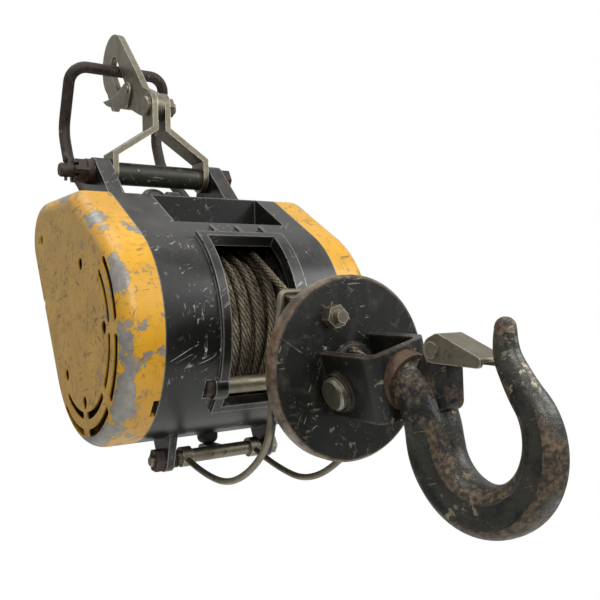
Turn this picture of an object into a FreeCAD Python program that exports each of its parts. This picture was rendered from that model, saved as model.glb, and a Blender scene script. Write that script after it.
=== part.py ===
import FreeCAD, Part
import math
import os

os.makedirs("parts", exist_ok=True)

V = FreeCAD.Vector
X_AXIS = V(1, 0, 0)
Y_AXIS = V(0, 1, 0)
Z_AXIS = V(0, 0, 1)

# Driving dimensions in millimetres. Everything is drawn about the drum's axis: X along the drum,
# +Y towards the back, +Z up. The pieces are saved with the suspension bolt's middle as origin.

# Side outline shared by the housing and both covers
drum_house_r = 83.0
motor_house_r = 33.0
motor_y = 103.0
motor_z = 74.0
shoulder_r = 25.0
front_slope_deg = 30.0

# Housing casting
housing_length = 147.0
housing_wall = 5.0
bulkhead = 6.0
bay_left = -36.0
bay_right = 41.0
bay_wall = 6.0
tunnel_r = 29.0
recess_left = -40.0
recess_right = 55.0
recess_floor_sink = 2.0
recess_back_y = 20.0

# Covers
cover_depth = 30.0
cover_wall = 4.0
cover_edge_r = 12.0
vent_radii = (59.6, 71.9)
vent_width = 5.5
vent_span_deg = 34.0
vent_angles_deg = (28.0, -17.0, -61.0, -107.0)
notch_angle_deg = -37.0
notch_depth = 4.0
notch_width = 15.0
screw_r = 3.0
screw_head_r = 4.4
screw_head_height = 4.0
screw_length = 24.0
screw_sink = 12.0
boss_r = 7.5
inner_screw_circle_r = 50.0
inner_screw_angles_deg = (88.6, 6.5, -84.0, -138.0)
rear_screw_y = 100.0
rear_screw_z = 21.0
edge_screw_inset = 10.0
edge_screw_angles_deg = (45.0, -10.0, -62.0, -125.0)

# Rope window in the round front, its raised rim and its roller
window_left = -25.5
window_right = 30.5
window_top_deg = 54.0
window_bottom_deg = -38.0
rim_left = 7.0
rim_right = 10.0
rim_top = 4.0
rim_height = 3.0
gusset_width = 2.6
gusset_count = 3
roller_angle_deg = -28.0
roller_sink = 2.5
roller_r = 6.0
roller_bolt_r = 4.0
roller_boss_r = 9.0
roller_head_r = 6.5
roller_head_length = 5.0

# Drum and the rope wound on it
drum_core_r = 37.0
flange_clearance = 7.0
flange_width = 4.0
flange_gap = 4.5
drum_shaft_r = 10.0
bearing_r = 20.0
bearing_width = 10.0
bearing_wall = 6.0
rope_r = 2.75
pack_below_flange = 7.0
pack_turns = 8
rope_exit_x = 21.5

# Gear train: motor pinion, layshaft wheel, layshaft pinion, drum wheel
fine_module = 1.25
coarse_module = 2.0
motor_pinion_teeth = 14
lay_wheel_teeth = 72
lay_pinion_teeth = 14
drum_wheel_teeth = 60
pressure_deg = 20.0
tooth_backlash = 0.12
addendum = 0.8
dedendum = 1.15
drum_wheel_width = 16.0
lay_wheel_width = 8.0
gear_gap = 3.0
lay_shaft_r = 5.0

# Motor in the rear tunnel
stator_length = 34.0
stator_wall = 8.0
air_gap = 1.0
shield_width = 8.0
armature_shaft_r = 5.0
motor_bearing_r = 11.0
armature_slots = 12
commutator_r = 12.0
commutator_width = 12.0
brush_x = -24.0
brush_angle_deg = 150.0
brush_r = 6.0
brush_cap_r = 10.0
brush_cap_height = 4.0
brush_boss_r = 12.0
brush_reach = 63.0
rear_brush_reach = 36.0
fan_r = 22.0
fan_width = 8.0
fan_shaft_stub = 13.2
fan_blades = 9

# Suspension bolt, its ears, straps and plate hook
bolt_y = 100.0
bolt_z = 134.0
bolt_r = 6.0
ear_inner_x = 46.5
ear_thickness = 14.0
ear_r = 12.5
ear_front_y = 52.0
ear_back_y = 121.0
nut_flats = 19.0
nut_height = 11.0
head_height = 8.0
washer_r = 11.0
left_washer = 6.0
right_washer = 2.0
bolt_tail = 11.0
cotter_r = 1.3
cotter_reach = 9.0
strap_thickness = 5.0
strap_width = 25.0
strap_gap = 1.0
strap_lower_bend_z = 150.0
strap_upper_bend_z = 175.0
sleeve_r = 10.0
hanger_pin_z = 197.0
hanger_pin_r = 5.0
plate_thickness = 6.4
plate_lean_deg = 43.0
plate_foot_r = 12.0
plate_head_r = 30.5
plate_head_v = 32.0
plate_head_u = 117.0
slot_v = 31.0
slot_u = 113.0
slot_r = 10.0
plate_tip_u = 88.0
plate_waist_u = 30.0
plate_waist_r = 13.0
latch_pivot_v = 22.0
latch_pivot_u = 60.0
latch_cheek = 2.2
latch_tip_r = 3.0
latch_open_deg = 24.0

# Carrying handle behind the housing
handle_r = 5.5
handle_half_width = 49.0
handle_bar_v = 30.0
handle_bar_u = 103.0
handle_pivot_y = 143.0
handle_pivot_z = 118.0
handle_lug_inner_x = 27.0
handle_lug_width = 11.0
handle_lug_r = 9.0
handle_elbow_y = 206.0
handle_elbow_z = 160.0
handle_crest_y = 221.0
handle_crest_z = 193.0

# Limit lever under the housing
lever_y = -22.0
lever_drop = 12.0
lever_bolt_r = 4.0
lever_bolt_tail = 10.0
lever_head_flats = 13.0
lever_head_height = 5.5
lever_nut_flats = 15.0
lever_nut_height = 7.0
lever_tube_r = 5.2
lever_lug_left = -46.0
lever_lug_right = 32.0
lever_lug_width = 6.0
lever_lug_r = 9.0
lever_wire_r = 2.25
lever_collar_r = 7.5
lever_collar_width = 8.0
lever_spring_wire_r = 1.0
lever_spring_turns = 3
lever_front_y = -150.0
lever_low_drop = 7.0
lever_arm_reach = 76.0
lever_left_knee = 43.0
lever_right_knee = 50.0
lever_top_z = 27.0
lever_left_x = -34.0
lever_right_x = 24.0
lever_left_top_x = -26.0
lever_right_top_x = 42.0
cam_x = -8.0
cam_width = 12.0
boot_y = -8.0
boot_r = 8.0
boot_drop = 7.0

# Hook block hanging in front of the window
block_x = 15.0
block_y = -168.0
block_z = -21.0
block_roll_deg = 15.0
yoke_drop = 3.0
disc_r = 58.5
disc_plate = 4.0
disc_rim = 9.0
disc_hole_r = 16.0
yoke_width = 44.0
yoke_height = 40.0
yoke_length = 50.0
yoke_strap = 5.0
yoke_bend_r = 9.0
yoke_bore_r = 12.0
axle_r = 7.0
axle_head_r = 10.0
axle_head_height = 4.0
axle_forward = 13.0
axle_drop = 6.0
axle_boss_r = 12.0
axle_boss_height = 3.0
thimble_r = 10.5
thimble_width = 11.0
ferrule_r = 5.5
ferrule_length = 22.0
disc_bolt_up = 36.0
disc_bolt_side = -7.0
disc_bolt_r = 4.0
disc_nut_flats = 13.0
disc_nut_height = 7.0

# Load hook, drawn along its shank and then tilted down
hook_tilt_deg = 15.8
shank_r = 9.0
swivel_washer_r = 17.0
swivel_washer = 5.0
shank_nut_flats = 24.0
shank_nut_height = 7.0
neck_r = 15.0
bow_forward = 63.0
bow_drop = -7.5
bow_r = 36.0
bow_start_deg = 208.0
bow_end_deg = 420.0
hook_back_r = 15.5
hook_bottom_r = 14.5
hook_point_r = 8.5
hook_nose_r = 5.5
hook_stations = 9
latch_hinge_forward = 24.0
latch_hinge_up = 27.0
latch_hinge_r = 7.0
latch_hinge_pin_r = 2.5
latch_lug_width = 12.0
gate_sheet = 2.0
gate_length = 31.0
gate_width = 18.0

# Clearances
seat_gap = 0.2
running_gap = 0.05
part_gap = 0.3
screw_gap = 0.3

# Cable gland on the back wall
gland_x = -55.0
gland_r = 10.0
gland_length = 16.0
gland_bore_r = 4.5
gland_back_share = 0.45

# Places that follow from the driving dimensions
half_length = housing_length / 2
bay_r = drum_house_r - bay_wall
flange_r = bay_r - flange_clearance
pack_r = flange_r - pack_below_flange
roller_orbit_r = drum_house_r - roller_sink
recess_floor_z = drum_house_r - recess_floor_sink
lever_z = -drum_house_r - lever_drop
lever_low_z = lever_z - lever_low_drop
boot_bottom_z = -drum_house_r - boot_drop
end_x = half_length + cover_depth
roof_z = motor_z + motor_house_r
left_wall_x = bay_left - bulkhead
right_wall_x = bay_right + bulkhead
drum_left = bay_left + flange_gap
drum_right = bay_right - flange_gap
ear_outer_x = ear_inner_x + ear_thickness
strap_x = ear_inner_x - strap_gap - strap_thickness / 2
strap_top_x = (plate_thickness + strap_thickness) / 2 + part_gap


def turned(shape, deg, axis=X_AXIS, centre=V(0, 0, 0)):
    copy = shape.copy()
    copy.rotate(centre, axis, deg)
    return copy


def moved(shape, x=0.0, y=0.0, z=0.0):
    copy = shape.copy()
    copy.translate(V(x, y, z))
    return copy


def fused(shapes):
    whole = shapes[0]
    for shape in shapes[1:]:
        whole = whole.fuse(shape)
    return whole.removeSplitter()


def rod_x(radius, x0, x1, y=0.0, z=0.0):
    return Part.makeCylinder(radius, x1 - x0, V(x0, y, z), X_AXIS)


def ring_x(outer, inner, x0, x1, y=0.0, z=0.0):
    return rod_x(outer, x0, x1, y, z).cut(rod_x(inner, x0, x1, y, z))


def block(x0, x1, y0, y1, z0, z1):
    return Part.makeBox(x1 - x0, y1 - y0, z1 - z0, V(x0, y0, z0))


def hex_x(flats, x0, x1, y=0.0, z=0.0):
    corner = flats / math.sqrt(3)
    corners = [math.radians(60 * i) for i in range(7)]
    points = [V(x0, y + corner * math.cos(a), z + corner * math.sin(a)) for a in corners]
    return Part.Face(Part.makePolygon(points)).extrude(V(x1 - x0, 0, 0))


def hull(circles):
    """Face in the YZ plane round circles (y, z, r), listed in turn, with straight tangents."""
    follow = circles[1:] + circles[:1]
    if sum(a[0] * b[1] - a[1] * b[0] for a, b in zip(circles, follow)) < 0:
        circles = circles[::-1]
    tangents = []
    for (y0, z0, r0), (y1, z1, r1) in zip(circles, circles[1:] + circles[:1]):
        span = math.hypot(y1 - y0, z1 - z0)
        along = ((y1 - y0) / span, (z1 - z0) / span)
        lean = (r0 - r1) / span
        side = math.sqrt(1 - lean * lean)
        ny = along[0] * lean + along[1] * side
        nz = along[1] * lean - along[0] * side
        tangents.append((ny, nz, V(0, y0 + r0 * ny, z0 + r0 * nz), V(0, y1 + r1 * ny, z1 + r1 * nz)))
    edges = []
    for i, (y, z, r) in enumerate(circles):
        before = tangents[i - 1]
        after = tangents[i]
        start = math.atan2(before[1], before[0])
        turn = (math.atan2(after[1], after[0]) - start) % (2 * math.pi)
        middle = V(0, y + r * math.cos(start + turn / 2), z + r * math.sin(start + turn / 2))
        edges.append(Part.Arc(before[3], middle, after[2]).toShape())
        edges.append(Part.LineSegment(after[2], after[3]).toShape())
    return Part.Face(Part.Wire(edges))


def slab(face, x0, x1):
    return moved(face, x0).extrude(V(x1 - x0, 0, 0))


def around(radius, deg):
    """Point at an angle measured from the front, upwards positive, about the drum's axis."""
    a = math.radians(deg)
    return -radius * math.cos(a), radius * math.sin(a)


def sector(r0, r1, low_deg, high_deg, x0, x1):
    def spot(radius, deg):
        y, z = around(radius, deg)
        return V(x0, y, z)
    middle = (low_deg + high_deg) / 2
    edges = [
        Part.Arc(spot(r1, low_deg), spot(r1, middle), spot(r1, high_deg)).toShape(),
        Part.LineSegment(spot(r1, high_deg), spot(r0, high_deg)).toShape(),
        Part.Arc(spot(r0, high_deg), spot(r0, middle), spot(r0, low_deg)).toShape(),
        Part.LineSegment(spot(r0, low_deg), spot(r1, low_deg)).toShape(),
    ]
    return Part.Face(Part.Wire(edges)).extrude(V(x1 - x0, 0, 0))


def bent_rod(points, radii, rod_r):
    """Round bar along straight runs joined by tangent arcs of the given radii."""
    edges = []
    start = points[0]
    for before, corner, after, radius in zip(points, points[1:], points[2:], radii):
        back = (before - corner).normalize()
        on = (after - corner).normalize()
        half = back.getAngle(on) / 2
        reach = radius / math.tan(half)
        bisector = (back + on).normalize()
        middle = corner + bisector * (radius / math.sin(half) - radius)
        arc_start = corner + back * reach
        arc_end = corner + on * reach
        edges.append(Part.LineSegment(start, arc_start).toShape())
        edges.append(Part.Arc(arc_start, middle, arc_end).toShape())
        start = arc_end
    edges.append(Part.LineSegment(start, points[-1]).toShape())
    section = Part.Wire(Part.makeCircle(rod_r, points[0], points[1] - points[0]))
    return Part.Wire(edges).makePipeShell([section], True, False)


def strip(spine, thickness):
    """Outline of a flat bar bent along a line of points, with mitred bends."""
    normals = []
    for (x0, z0), (x1, z1) in zip(spine, spine[1:]):
        length = math.hypot(x1 - x0, z1 - z0)
        normals.append(((z1 - z0) / length, (x0 - x1) / length))
    one_side = []
    other_side = []
    for i, (x, z) in enumerate(spine):
        a = normals[max(i - 1, 0)]
        b = normals[min(i, len(normals) - 1)]
        share = thickness / 2 / (1 + a[0] * b[0] + a[1] * b[1])
        one_side.append((x + (a[0] + b[0]) * share, z + (a[1] + b[1]) * share))
        other_side.append((x - (a[0] + b[0]) * share, z - (a[1] + b[1]) * share))
    return one_side + other_side[::-1]


def revolved(profile, axis=X_AXIS):
    return Part.Face(Part.makePolygon(profile + profile[:1])).revolve(V(0, 0, 0), axis, 360)


def end_edges(shape, x):
    return [e for e in shape.Edges if all(abs(v.X - x) < 0.001 for v in e.Vertexes)]


def side_outline(inset=0.0):
    slope = math.radians(front_slope_deg)
    shoulder_z = roof_z - shoulder_r
    shoulder_y = (math.cos(slope) * shoulder_z - drum_house_r + shoulder_r) / math.sin(slope)
    return hull([
        (0, 0, drum_house_r - inset),
        (motor_y, motor_z, motor_house_r - inset),
        (shoulder_y, shoulder_z, shoulder_r - inset),
    ])


def inner_screw_places():
    places = [around(inner_screw_circle_r, a) for a in inner_screw_angles_deg]
    return places + [(rear_screw_y, rear_screw_z)]


def edge_screw_places():
    places = [around(drum_house_r - edge_screw_inset, a) for a in edge_screw_angles_deg]
    corner = (motor_house_r - edge_screw_inset) / math.sqrt(2)
    return places + [(motor_y + corner, motor_z + corner)]


def roller_place():
    return around(roller_orbit_r, roller_angle_deg)


def lay_shaft_place():
    """Layshaft centre, at its two meshing distances from the motor and from the drum."""
    to_motor = fine_module * (motor_pinion_teeth + lay_wheel_teeth) / 2
    to_drum = coarse_module * (lay_pinion_teeth + drum_wheel_teeth) / 2
    span = math.hypot(motor_y, motor_z)
    along = (span * span + to_drum * to_drum - to_motor * to_motor) / (2 * span)
    aside = math.sqrt(max(to_drum * to_drum - along * along, 0.0))
    uy = motor_y / span
    uz = motor_z / span
    return along * uy - aside * uz, along * uz + aside * uy


def brush_rod(radius, near, far, flip=1):
    """Cylinder along the brush axis, measured from the motor's axis."""
    a = math.radians(brush_angle_deg)
    way = V(0, flip * math.cos(a), flip * math.sin(a))
    return Part.makeCylinder(radius, far - near, V(brush_x, motor_y, motor_z) + way * near, way)


def without(shape, tools):
    for tool in tools:
        shape = shape.cut(tool)
    return shape


def left_pocket():
    """Space behind the left bulkhead, round its bearing and screw bosses."""
    keep = [recess(housing_wall), rod_x(bearing_r + bearing_wall, bay_left - bearing_width, left_wall_x)]
    keep += [rod_x(boss_r, -half_length, left_wall_x, y, z) for y, z in inner_screw_places()]
    return without(slab(side_outline(housing_wall), -half_length, left_wall_x), keep)


def right_pocket():
    """Gear space behind the right bulkhead, round its bearing and screw bosses."""
    keep = [recess(housing_wall), rod_x(bearing_r + bearing_wall, right_wall_x, bay_right + bearing_width)]
    keep += [rod_x(boss_r, right_wall_x, half_length, y, z) for y, z in edge_screw_places()]
    return without(slab(side_outline(housing_wall), right_wall_x, half_length), keep)


def middle_hollow():
    """Cored space between the drum bay and the motor tunnel, open through the left bulkhead."""
    keep = [rod_x(bay_r + housing_wall, left_wall_x, bay_right),
            rod_x(tunnel_r + housing_wall, left_wall_x, bay_right, motor_y, motor_z), recess(housing_wall),
            brush_rod(brush_boss_r, motor_house_r - 2 * housing_wall, brush_reach),
            brush_rod(brush_boss_r, motor_house_r - 2 * housing_wall, rear_brush_reach, -1)]
    return without(slab(side_outline(housing_wall), left_wall_x, bay_right), keep)


def recess(margin=0.0):
    return block(recess_left - margin, recess_right + margin, -drum_house_r, recess_back_y + margin,
                 recess_floor_z - margin, roof_z + bolt_r)


def window_rim():
    outer = drum_house_r + rim_height
    rim = sector(bay_r, outer, window_bottom_deg - rim_top, window_top_deg + rim_top,
                 window_left - rim_left, window_right + rim_right)
    step = (window_right - window_left + rim_left) / gusset_count
    ribs = []
    for i in range(gusset_count):
        x = window_left - rim_left / 2 + step * (i + 0.6)
        ribs.append(sector(bay_r, outer, window_top_deg, window_top_deg + 3 * rim_top,
                           x, x + gusset_width))
    y, z = roller_place()
    for x0, x1 in ((window_left - rim_right, window_left), (window_right, window_right + rim_right)):
        ribs.append(rod_x(roller_boss_r, x0, x1, y, z))
    return fused([rim] + ribs)


def window_cuts():
    y, z = roller_place()
    head_x = window_left - rim_right
    opening = sector(bay_r / 2, drum_house_r + 2 * rim_height + roller_boss_r,
                     window_bottom_deg, window_top_deg, window_left, window_right)
    bolt = rod_x(roller_bolt_r + running_gap, head_x, window_right + rim_right, y, z)
    pocket = rod_x(roller_head_r + 1, head_x - roller_head_length - 1, head_x, y, z)
    return [opening, bolt, pocket]


def ear(side):
    profile = hull([(ear_front_y, roof_z - 7, 4.0), (ear_back_y, roof_z - 15, 5.0), (bolt_y, bolt_z, ear_r)])
    inner = side * ear_inner_x
    outer = side * ear_outer_x
    return slab(profile, min(inner, outer), max(inner, outer))


def handle_lug(side):
    profile = hull([(handle_pivot_y, handle_pivot_z, handle_lug_r),
                    (motor_y + 18, motor_z + 14, handle_lug_r),
                    (motor_y + 22, motor_z + 4, handle_lug_r)])
    inner = side * handle_lug_inner_x
    outer = side * (handle_lug_inner_x + handle_lug_width)
    return slab(profile, min(inner, outer), max(inner, outer))


def lever_lug(x0):
    foot_z = -math.sqrt(drum_house_r ** 2 - lever_y ** 2)
    profile = hull([(lever_y, lever_z, lever_lug_r), (lever_y + 9, foot_z + 3, lever_lug_r),
                    (lever_y - 6, foot_z + 5, lever_lug_r)])
    return slab(profile, x0, x0 + lever_lug_width)


def lever_lugs():
    return [lever_lug(lever_lug_left - lever_lug_width), lever_lug(lever_lug_right)]


def housing_bores():
    lay_y, lay_z = lay_shaft_place()
    grip = screw_length - cover_depth + screw_sink
    shapes = [
        rod_x(bearing_r + running_gap, bay_left - bearing_width, bay_left),
        rod_x(bearing_r + running_gap, bay_right, bay_right + bearing_width),
        rod_x(lay_shaft_r + running_gap, right_wall_x - bulkhead / 2, right_wall_x, lay_y, lay_z),
        rod_x(bolt_r + running_gap, -ear_outer_x, ear_outer_x, bolt_y, bolt_z),
        rod_x(lever_bolt_r + running_gap, lever_lug_left - lever_lug_width,
              lever_lug_right + lever_lug_width, lever_y, lever_z),
        rod_x(handle_r + running_gap, -handle_lug_inner_x - handle_lug_width,
              handle_lug_inner_x + handle_lug_width, handle_pivot_y, handle_pivot_z),
        brush_rod(brush_r + running_gap, 0, brush_reach),
        brush_rod(brush_r + running_gap, 0, rear_brush_reach, -1),
        brush_rod(brush_cap_r + 1, brush_reach, brush_reach + 3 * brush_boss_r),
        brush_rod(brush_cap_r + 1, rear_brush_reach, rear_brush_reach + brush_boss_r, -1),
    ]
    for y, z in inner_screw_places():
        shapes.append(rod_x(screw_r + running_gap, -half_length, grip - half_length, y, z))
    for y, z in edge_screw_places():
        shapes.append(rod_x(screw_r + running_gap, half_length - grip, half_length, y, z))
    return shapes


def housing():
    shell = slab(side_outline(), -half_length, half_length).cut(recess())
    body = fused([shell, window_rim(), ear(-1), ear(1), handle_lug(-1), handle_lug(1)] + lever_lugs()
                 + [brush_rod(brush_boss_r, motor_house_r / 2, brush_reach),
                    brush_rod(brush_boss_r, motor_house_r / 2, rear_brush_reach, -1)])
    place, way = gland_axis()
    cuts = [left_pocket(), right_pocket(), middle_hollow(), rod_x(bay_r, bay_left, bay_right),
            rod_x(tunnel_r, left_wall_x, right_wall_x, motor_y, motor_z),
            Part.makeCylinder(gland_bore_r, 3 * housing_wall, place - way * 2 * housing_wall, way)]
    return without(body, cuts + window_cuts() + housing_bores()).removeSplitter()


def cover_shell(side):
    inner_x = side * half_length
    outer_x = side * end_x
    shell = slab(side_outline(), min(inner_x, outer_x), max(inner_x, outer_x))
    shell = shell.makeFillet(cover_edge_r, end_edges(shell, outer_x))
    floor_x = outer_x - side * cover_wall
    hollow = slab(side_outline(cover_wall), min(inner_x, floor_x), max(inner_x, floor_x))
    hollow = hollow.makeChamfer(0.6 * (cover_edge_r - cover_wall), end_edges(hollow, floor_x))
    return shell, hollow


def cover_bosses(side, places, hollow):
    inner_x = side * half_length
    outer_x = side * end_x
    bosses = [rod_x(boss_r, min(inner_x, outer_x), max(inner_x, outer_x), y, z) for y, z in places]
    return [boss.common(hollow) for boss in bosses]


def screw_holes(side, places):
    inner_x = side * half_length
    outer_x = side * end_x
    seat_x = side * (end_x - screw_sink)
    holes = []
    for y, z in places:
        holes.append(rod_x(screw_r + screw_gap, min(inner_x, outer_x), max(inner_x, outer_x), y, z))
        holes.append(rod_x(screw_head_r + screw_gap, min(seat_x, outer_x), max(seat_x, outer_x), y, z))
    return holes


def vent_slots(outer_x):
    slots = []
    half = vent_width / 2
    for radius in vent_radii:
        for angle in vent_angles_deg:
            low = angle - vent_span_deg / 2
            high = angle + vent_span_deg / 2
            parts = [sector(radius - half, radius + half, low, high, outer_x, outer_x + cover_edge_r)]
            for end in (low, high):
                y, z = around(radius, end)
                parts.append(rod_x(half, outer_x, outer_x + cover_edge_r, y, z))
            slots.append(fused(parts))
    return slots


def rim_notch():
    turn = math.degrees(notch_width / drum_house_r) / 2
    return sector(drum_house_r - 2 * cover_wall, drum_house_r + 1, notch_angle_deg - turn,
                  notch_angle_deg + turn, -half_length - notch_depth, -half_length)


def left_cover():
    shell, hollow = cover_shell(-1)
    places = inner_screw_places()
    body = fused([shell.cut(hollow)] + cover_bosses(-1, places, hollow))
    access = rod_x(screw_head_r, -end_x, -end_x + 2 * cover_wall, motor_y, motor_z)
    return body.cut(screw_holes(-1, places) + vent_slots(-end_x) + [rim_notch(), access])


def right_cover():
    shell, hollow = cover_shell(1)
    places = edge_screw_places()
    lay_y, lay_z = lay_shaft_place()
    step = rod_x(lay_shaft_r + bearing_wall, end_x - cover_wall - bearing_width, end_x, lay_y, lay_z)
    body = fused([shell.cut(hollow), step.common(hollow)] + cover_bosses(1, places, hollow))
    bore = rod_x(lay_shaft_r + running_gap, half_length, end_x - cover_wall, lay_y, lay_z)
    return body.cut(screw_holes(1, places) + [bore])


def cover_screw(side, y, z):
    seat = end_x - screw_sink
    socket = hex_x(screw_head_r, seat + screw_head_height / 2, seat + screw_head_height, y, z)
    head = rod_x(screw_head_r, seat, seat + screw_head_height, y, z).cut(socket)
    screw = head.fuse(rod_x(screw_r, seat - screw_length, seat, y, z))
    return screw if side > 0 else screw.mirror(V(0, 0, 0), X_AXIS)


def left_cover_screws():
    return Part.makeCompound([cover_screw(-1, y, z) for y, z in inner_screw_places()])


def right_cover_screws():
    return Part.makeCompound([cover_screw(1, y, z) for y, z in edge_screw_places()])


def drum():
    core = rod_x(drum_core_r, drum_left, drum_right)
    left = rod_x(flange_r, drum_left, drum_left + flange_width)
    right = rod_x(flange_r, drum_right - flange_width, drum_right)
    return fused([core, left, right]).cut(rod_x(drum_shaft_r, drum_left, drum_right))


def drum_shaft():
    shaft = rod_x(drum_shaft_r, bay_left - bearing_width - gear_gap, drum_wheel_x() + drum_wheel_width)
    return shaft.makeChamfer(1.0, end_edges(shaft, bay_left - bearing_width - gear_gap))


def drum_wheel_x():
    return bay_right + bearing_width + gear_gap


def rope_pack():
    """Top layer of turns, lying side by side round the drum."""
    x0 = drum_left + flange_width + seat_gap
    pitch = (drum_right - flange_width - seat_gap - x0) / pack_turns
    valley = pack_r - rope_r
    core = drum_core_r + seat_gap
    profile = [V(x0, 0, core)]
    for i in range(pack_turns):
        x = x0 + i * pitch
        profile += [V(x, 0, valley), V(x + pitch / 4, 0, pack_r), V(x + 3 * pitch / 4, 0, pack_r)]
    x1 = x0 + pack_turns * pitch
    return revolved(profile + [V(x1, 0, valley), V(x1, 0, core)])


def drum_bearing(x0):
    groove = rod_x(bearing_r - 4, x0, x0 + 1).cut(rod_x(bearing_r - 6, x0, x0 + 1))
    back = moved(groove, bearing_width - 1)
    return ring_x(bearing_r, drum_shaft_r + running_gap, x0, x0 + bearing_width).cut([groove, back])


def drum_bearings():
    return Part.makeCompound([drum_bearing(bay_left - bearing_width), drum_bearing(bay_right)])


def involute(angle):
    return math.tan(angle) - angle


def gear(teeth, module, x0, x1, first_deg, bore_r):
    """Spur wheel with involute flanks; its first tooth points at first_deg from +Y towards +Z."""
    pitch_r = teeth * module / 2
    base_r = pitch_r * math.cos(math.radians(pressure_deg))
    tip_r = pitch_r + addendum * module
    root_r = pitch_r - dedendum * module
    half_tooth = math.pi / (2 * teeth) - tooth_backlash * module / (2 * pitch_r)

    def flank(radius):
        lean = math.acos(min(1.0, base_r / radius))
        return half_tooth + involute(math.radians(pressure_deg)) - involute(lean)

    outline = [(root_r, flank(base_r)), (max(base_r, root_r), flank(base_r)),
               (pitch_r, flank(pitch_r)), (tip_r, flank(tip_r))]
    if base_r <= root_r:
        outline = [(root_r, flank(root_r)), (pitch_r, flank(pitch_r)), (tip_r, flank(tip_r))]
    points = []
    for i in range(teeth):
        centre = math.radians(first_deg) + 2 * math.pi * i / teeth
        spots = [(r, centre - a) for r, a in outline] + [(r, centre + a) for r, a in reversed(outline)]
        points += [V(x0, r * math.cos(a), r * math.sin(a)) for r, a in spots]
    wheel = Part.Face(Part.makePolygon(points + points[:1])).extrude(V(x1 - x0, 0, 0))
    return wheel.cut(rod_x(bore_r, x0, x1))


def bearing_deg(from_place, to_place):
    return math.degrees(math.atan2(to_place[1] - from_place[1], to_place[0] - from_place[0]))


def lightened(wheel, x0, x1, hub_r, rim_r, holes):
    """Round windows through a wheel's web."""
    middle = (hub_r + rim_r) / 2
    size = (rim_r - hub_r) / 2 - 3
    for i in range(holes):
        a = 2 * math.pi * i / holes
        wheel = wheel.cut(rod_x(size, x0, x1, middle * math.cos(a), middle * math.sin(a)))
    return wheel


def drum_wheel():
    x0 = drum_wheel_x()
    aim = bearing_deg((0, 0), lay_shaft_place())
    wheel = gear(drum_wheel_teeth, coarse_module, x0, x0 + drum_wheel_width, aim, drum_shaft_r)
    rim = coarse_module * (drum_wheel_teeth / 2 - 3)
    return lightened(wheel, x0, x0 + drum_wheel_width, drum_shaft_r + 6, rim, 5)


def lay_wheel_x():
    return drum_wheel_x() + drum_wheel_width + 2 * gear_gap


def lay_wheel():
    lay = lay_shaft_place()
    x0 = lay_wheel_x()
    aim = bearing_deg(lay, (motor_y, motor_z))
    wheel = gear(lay_wheel_teeth, fine_module, x0, x0 + lay_wheel_width, aim, lay_shaft_r)
    rim = fine_module * (lay_wheel_teeth / 2 - 4)
    return moved(lightened(wheel, x0, x0 + lay_wheel_width, lay_shaft_r + 5, rim, 5), 0, lay[0], lay[1])


def lay_pinion():
    lay = lay_shaft_place()
    x0 = drum_wheel_x() - 1
    x1 = drum_wheel_x() + drum_wheel_width + 1
    aim = bearing_deg(lay, (0, 0)) + 180.0 / lay_pinion_teeth
    return moved(gear(lay_pinion_teeth, coarse_module, x0, x1, aim, lay_shaft_r), 0, lay[0], lay[1])


def lay_shaft():
    y, z = lay_shaft_place()
    return rod_x(lay_shaft_r, right_wall_x - bulkhead / 2 + part_gap, end_x - cover_wall - part_gap, y, z)


def motor_pinion():
    lay = lay_shaft_place()
    aim = bearing_deg((motor_y, motor_z), lay) + 180.0 / motor_pinion_teeth
    pinion = gear(motor_pinion_teeth, fine_module, lay_wheel_x() - 2, lay_wheel_x() + lay_wheel_width + 2,
                  aim, armature_shaft_r)
    return moved(pinion, 0, motor_y, motor_z)


def stator_x():
    return (shield_places()[0] + shield_width + shield_places()[1] - stator_length) / 2


def motor_stator():
    x0 = stator_x()
    outer = tunnel_r - seat_gap
    core = ring_x(outer, outer - stator_wall, x0, x0 + stator_length)
    for side in (-1, 1):
        coil = block(x0 - 4, x0 + stator_length + 4, side * (outer - stator_wall) - 2,
                     side * (outer - stator_wall) + 2, -10, 10)
        core = core.fuse(coil.cut(rod_x(outer - stator_wall, x0 - 4, x0 + stator_length + 4)))
    return moved(core, 0, motor_y, motor_z)


def shield_places():
    return brush_x + commutator_width / 2 + gear_gap, right_wall_x - shield_width


def motor_end_shields():
    shields = []
    for x0 in shield_places():
        shields.append(ring_x(tunnel_r - seat_gap, motor_bearing_r + running_gap, x0, x0 + shield_width,
                              motor_y, motor_z))
    return Part.makeCompound(shields)


def motor_bearings():
    rings = []
    for x0 in shield_places():
        rings.append(ring_x(motor_bearing_r, armature_shaft_r + running_gap, x0, x0 + shield_width,
                            motor_y, motor_z))
    return Part.makeCompound(rings)


def fan_x():
    return brush_x - commutator_width / 2 - gear_gap - fan_width


def armature_shaft():
    x0 = fan_x() - fan_shaft_stub
    return rod_x(armature_shaft_r, x0, lay_wheel_x() + lay_wheel_width + gear_gap, motor_y, motor_z)


def armature_core():
    x0 = stator_x()
    radius = tunnel_r - seat_gap - stator_wall - air_gap
    core = ring_x(radius, armature_shaft_r, x0, x0 + stator_length)
    slot = block(x0, x0 + stator_length, radius - 4, radius + 1, -1.2, 1.2)
    for i in range(armature_slots):
        core = core.cut(turned(slot, 360.0 * i / armature_slots))
    return moved(core, 0, motor_y, motor_z)


def commutator():
    x0 = brush_x - commutator_width / 2
    return ring_x(commutator_r, armature_shaft_r, x0, x0 + commutator_width, motor_y, motor_z)


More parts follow.
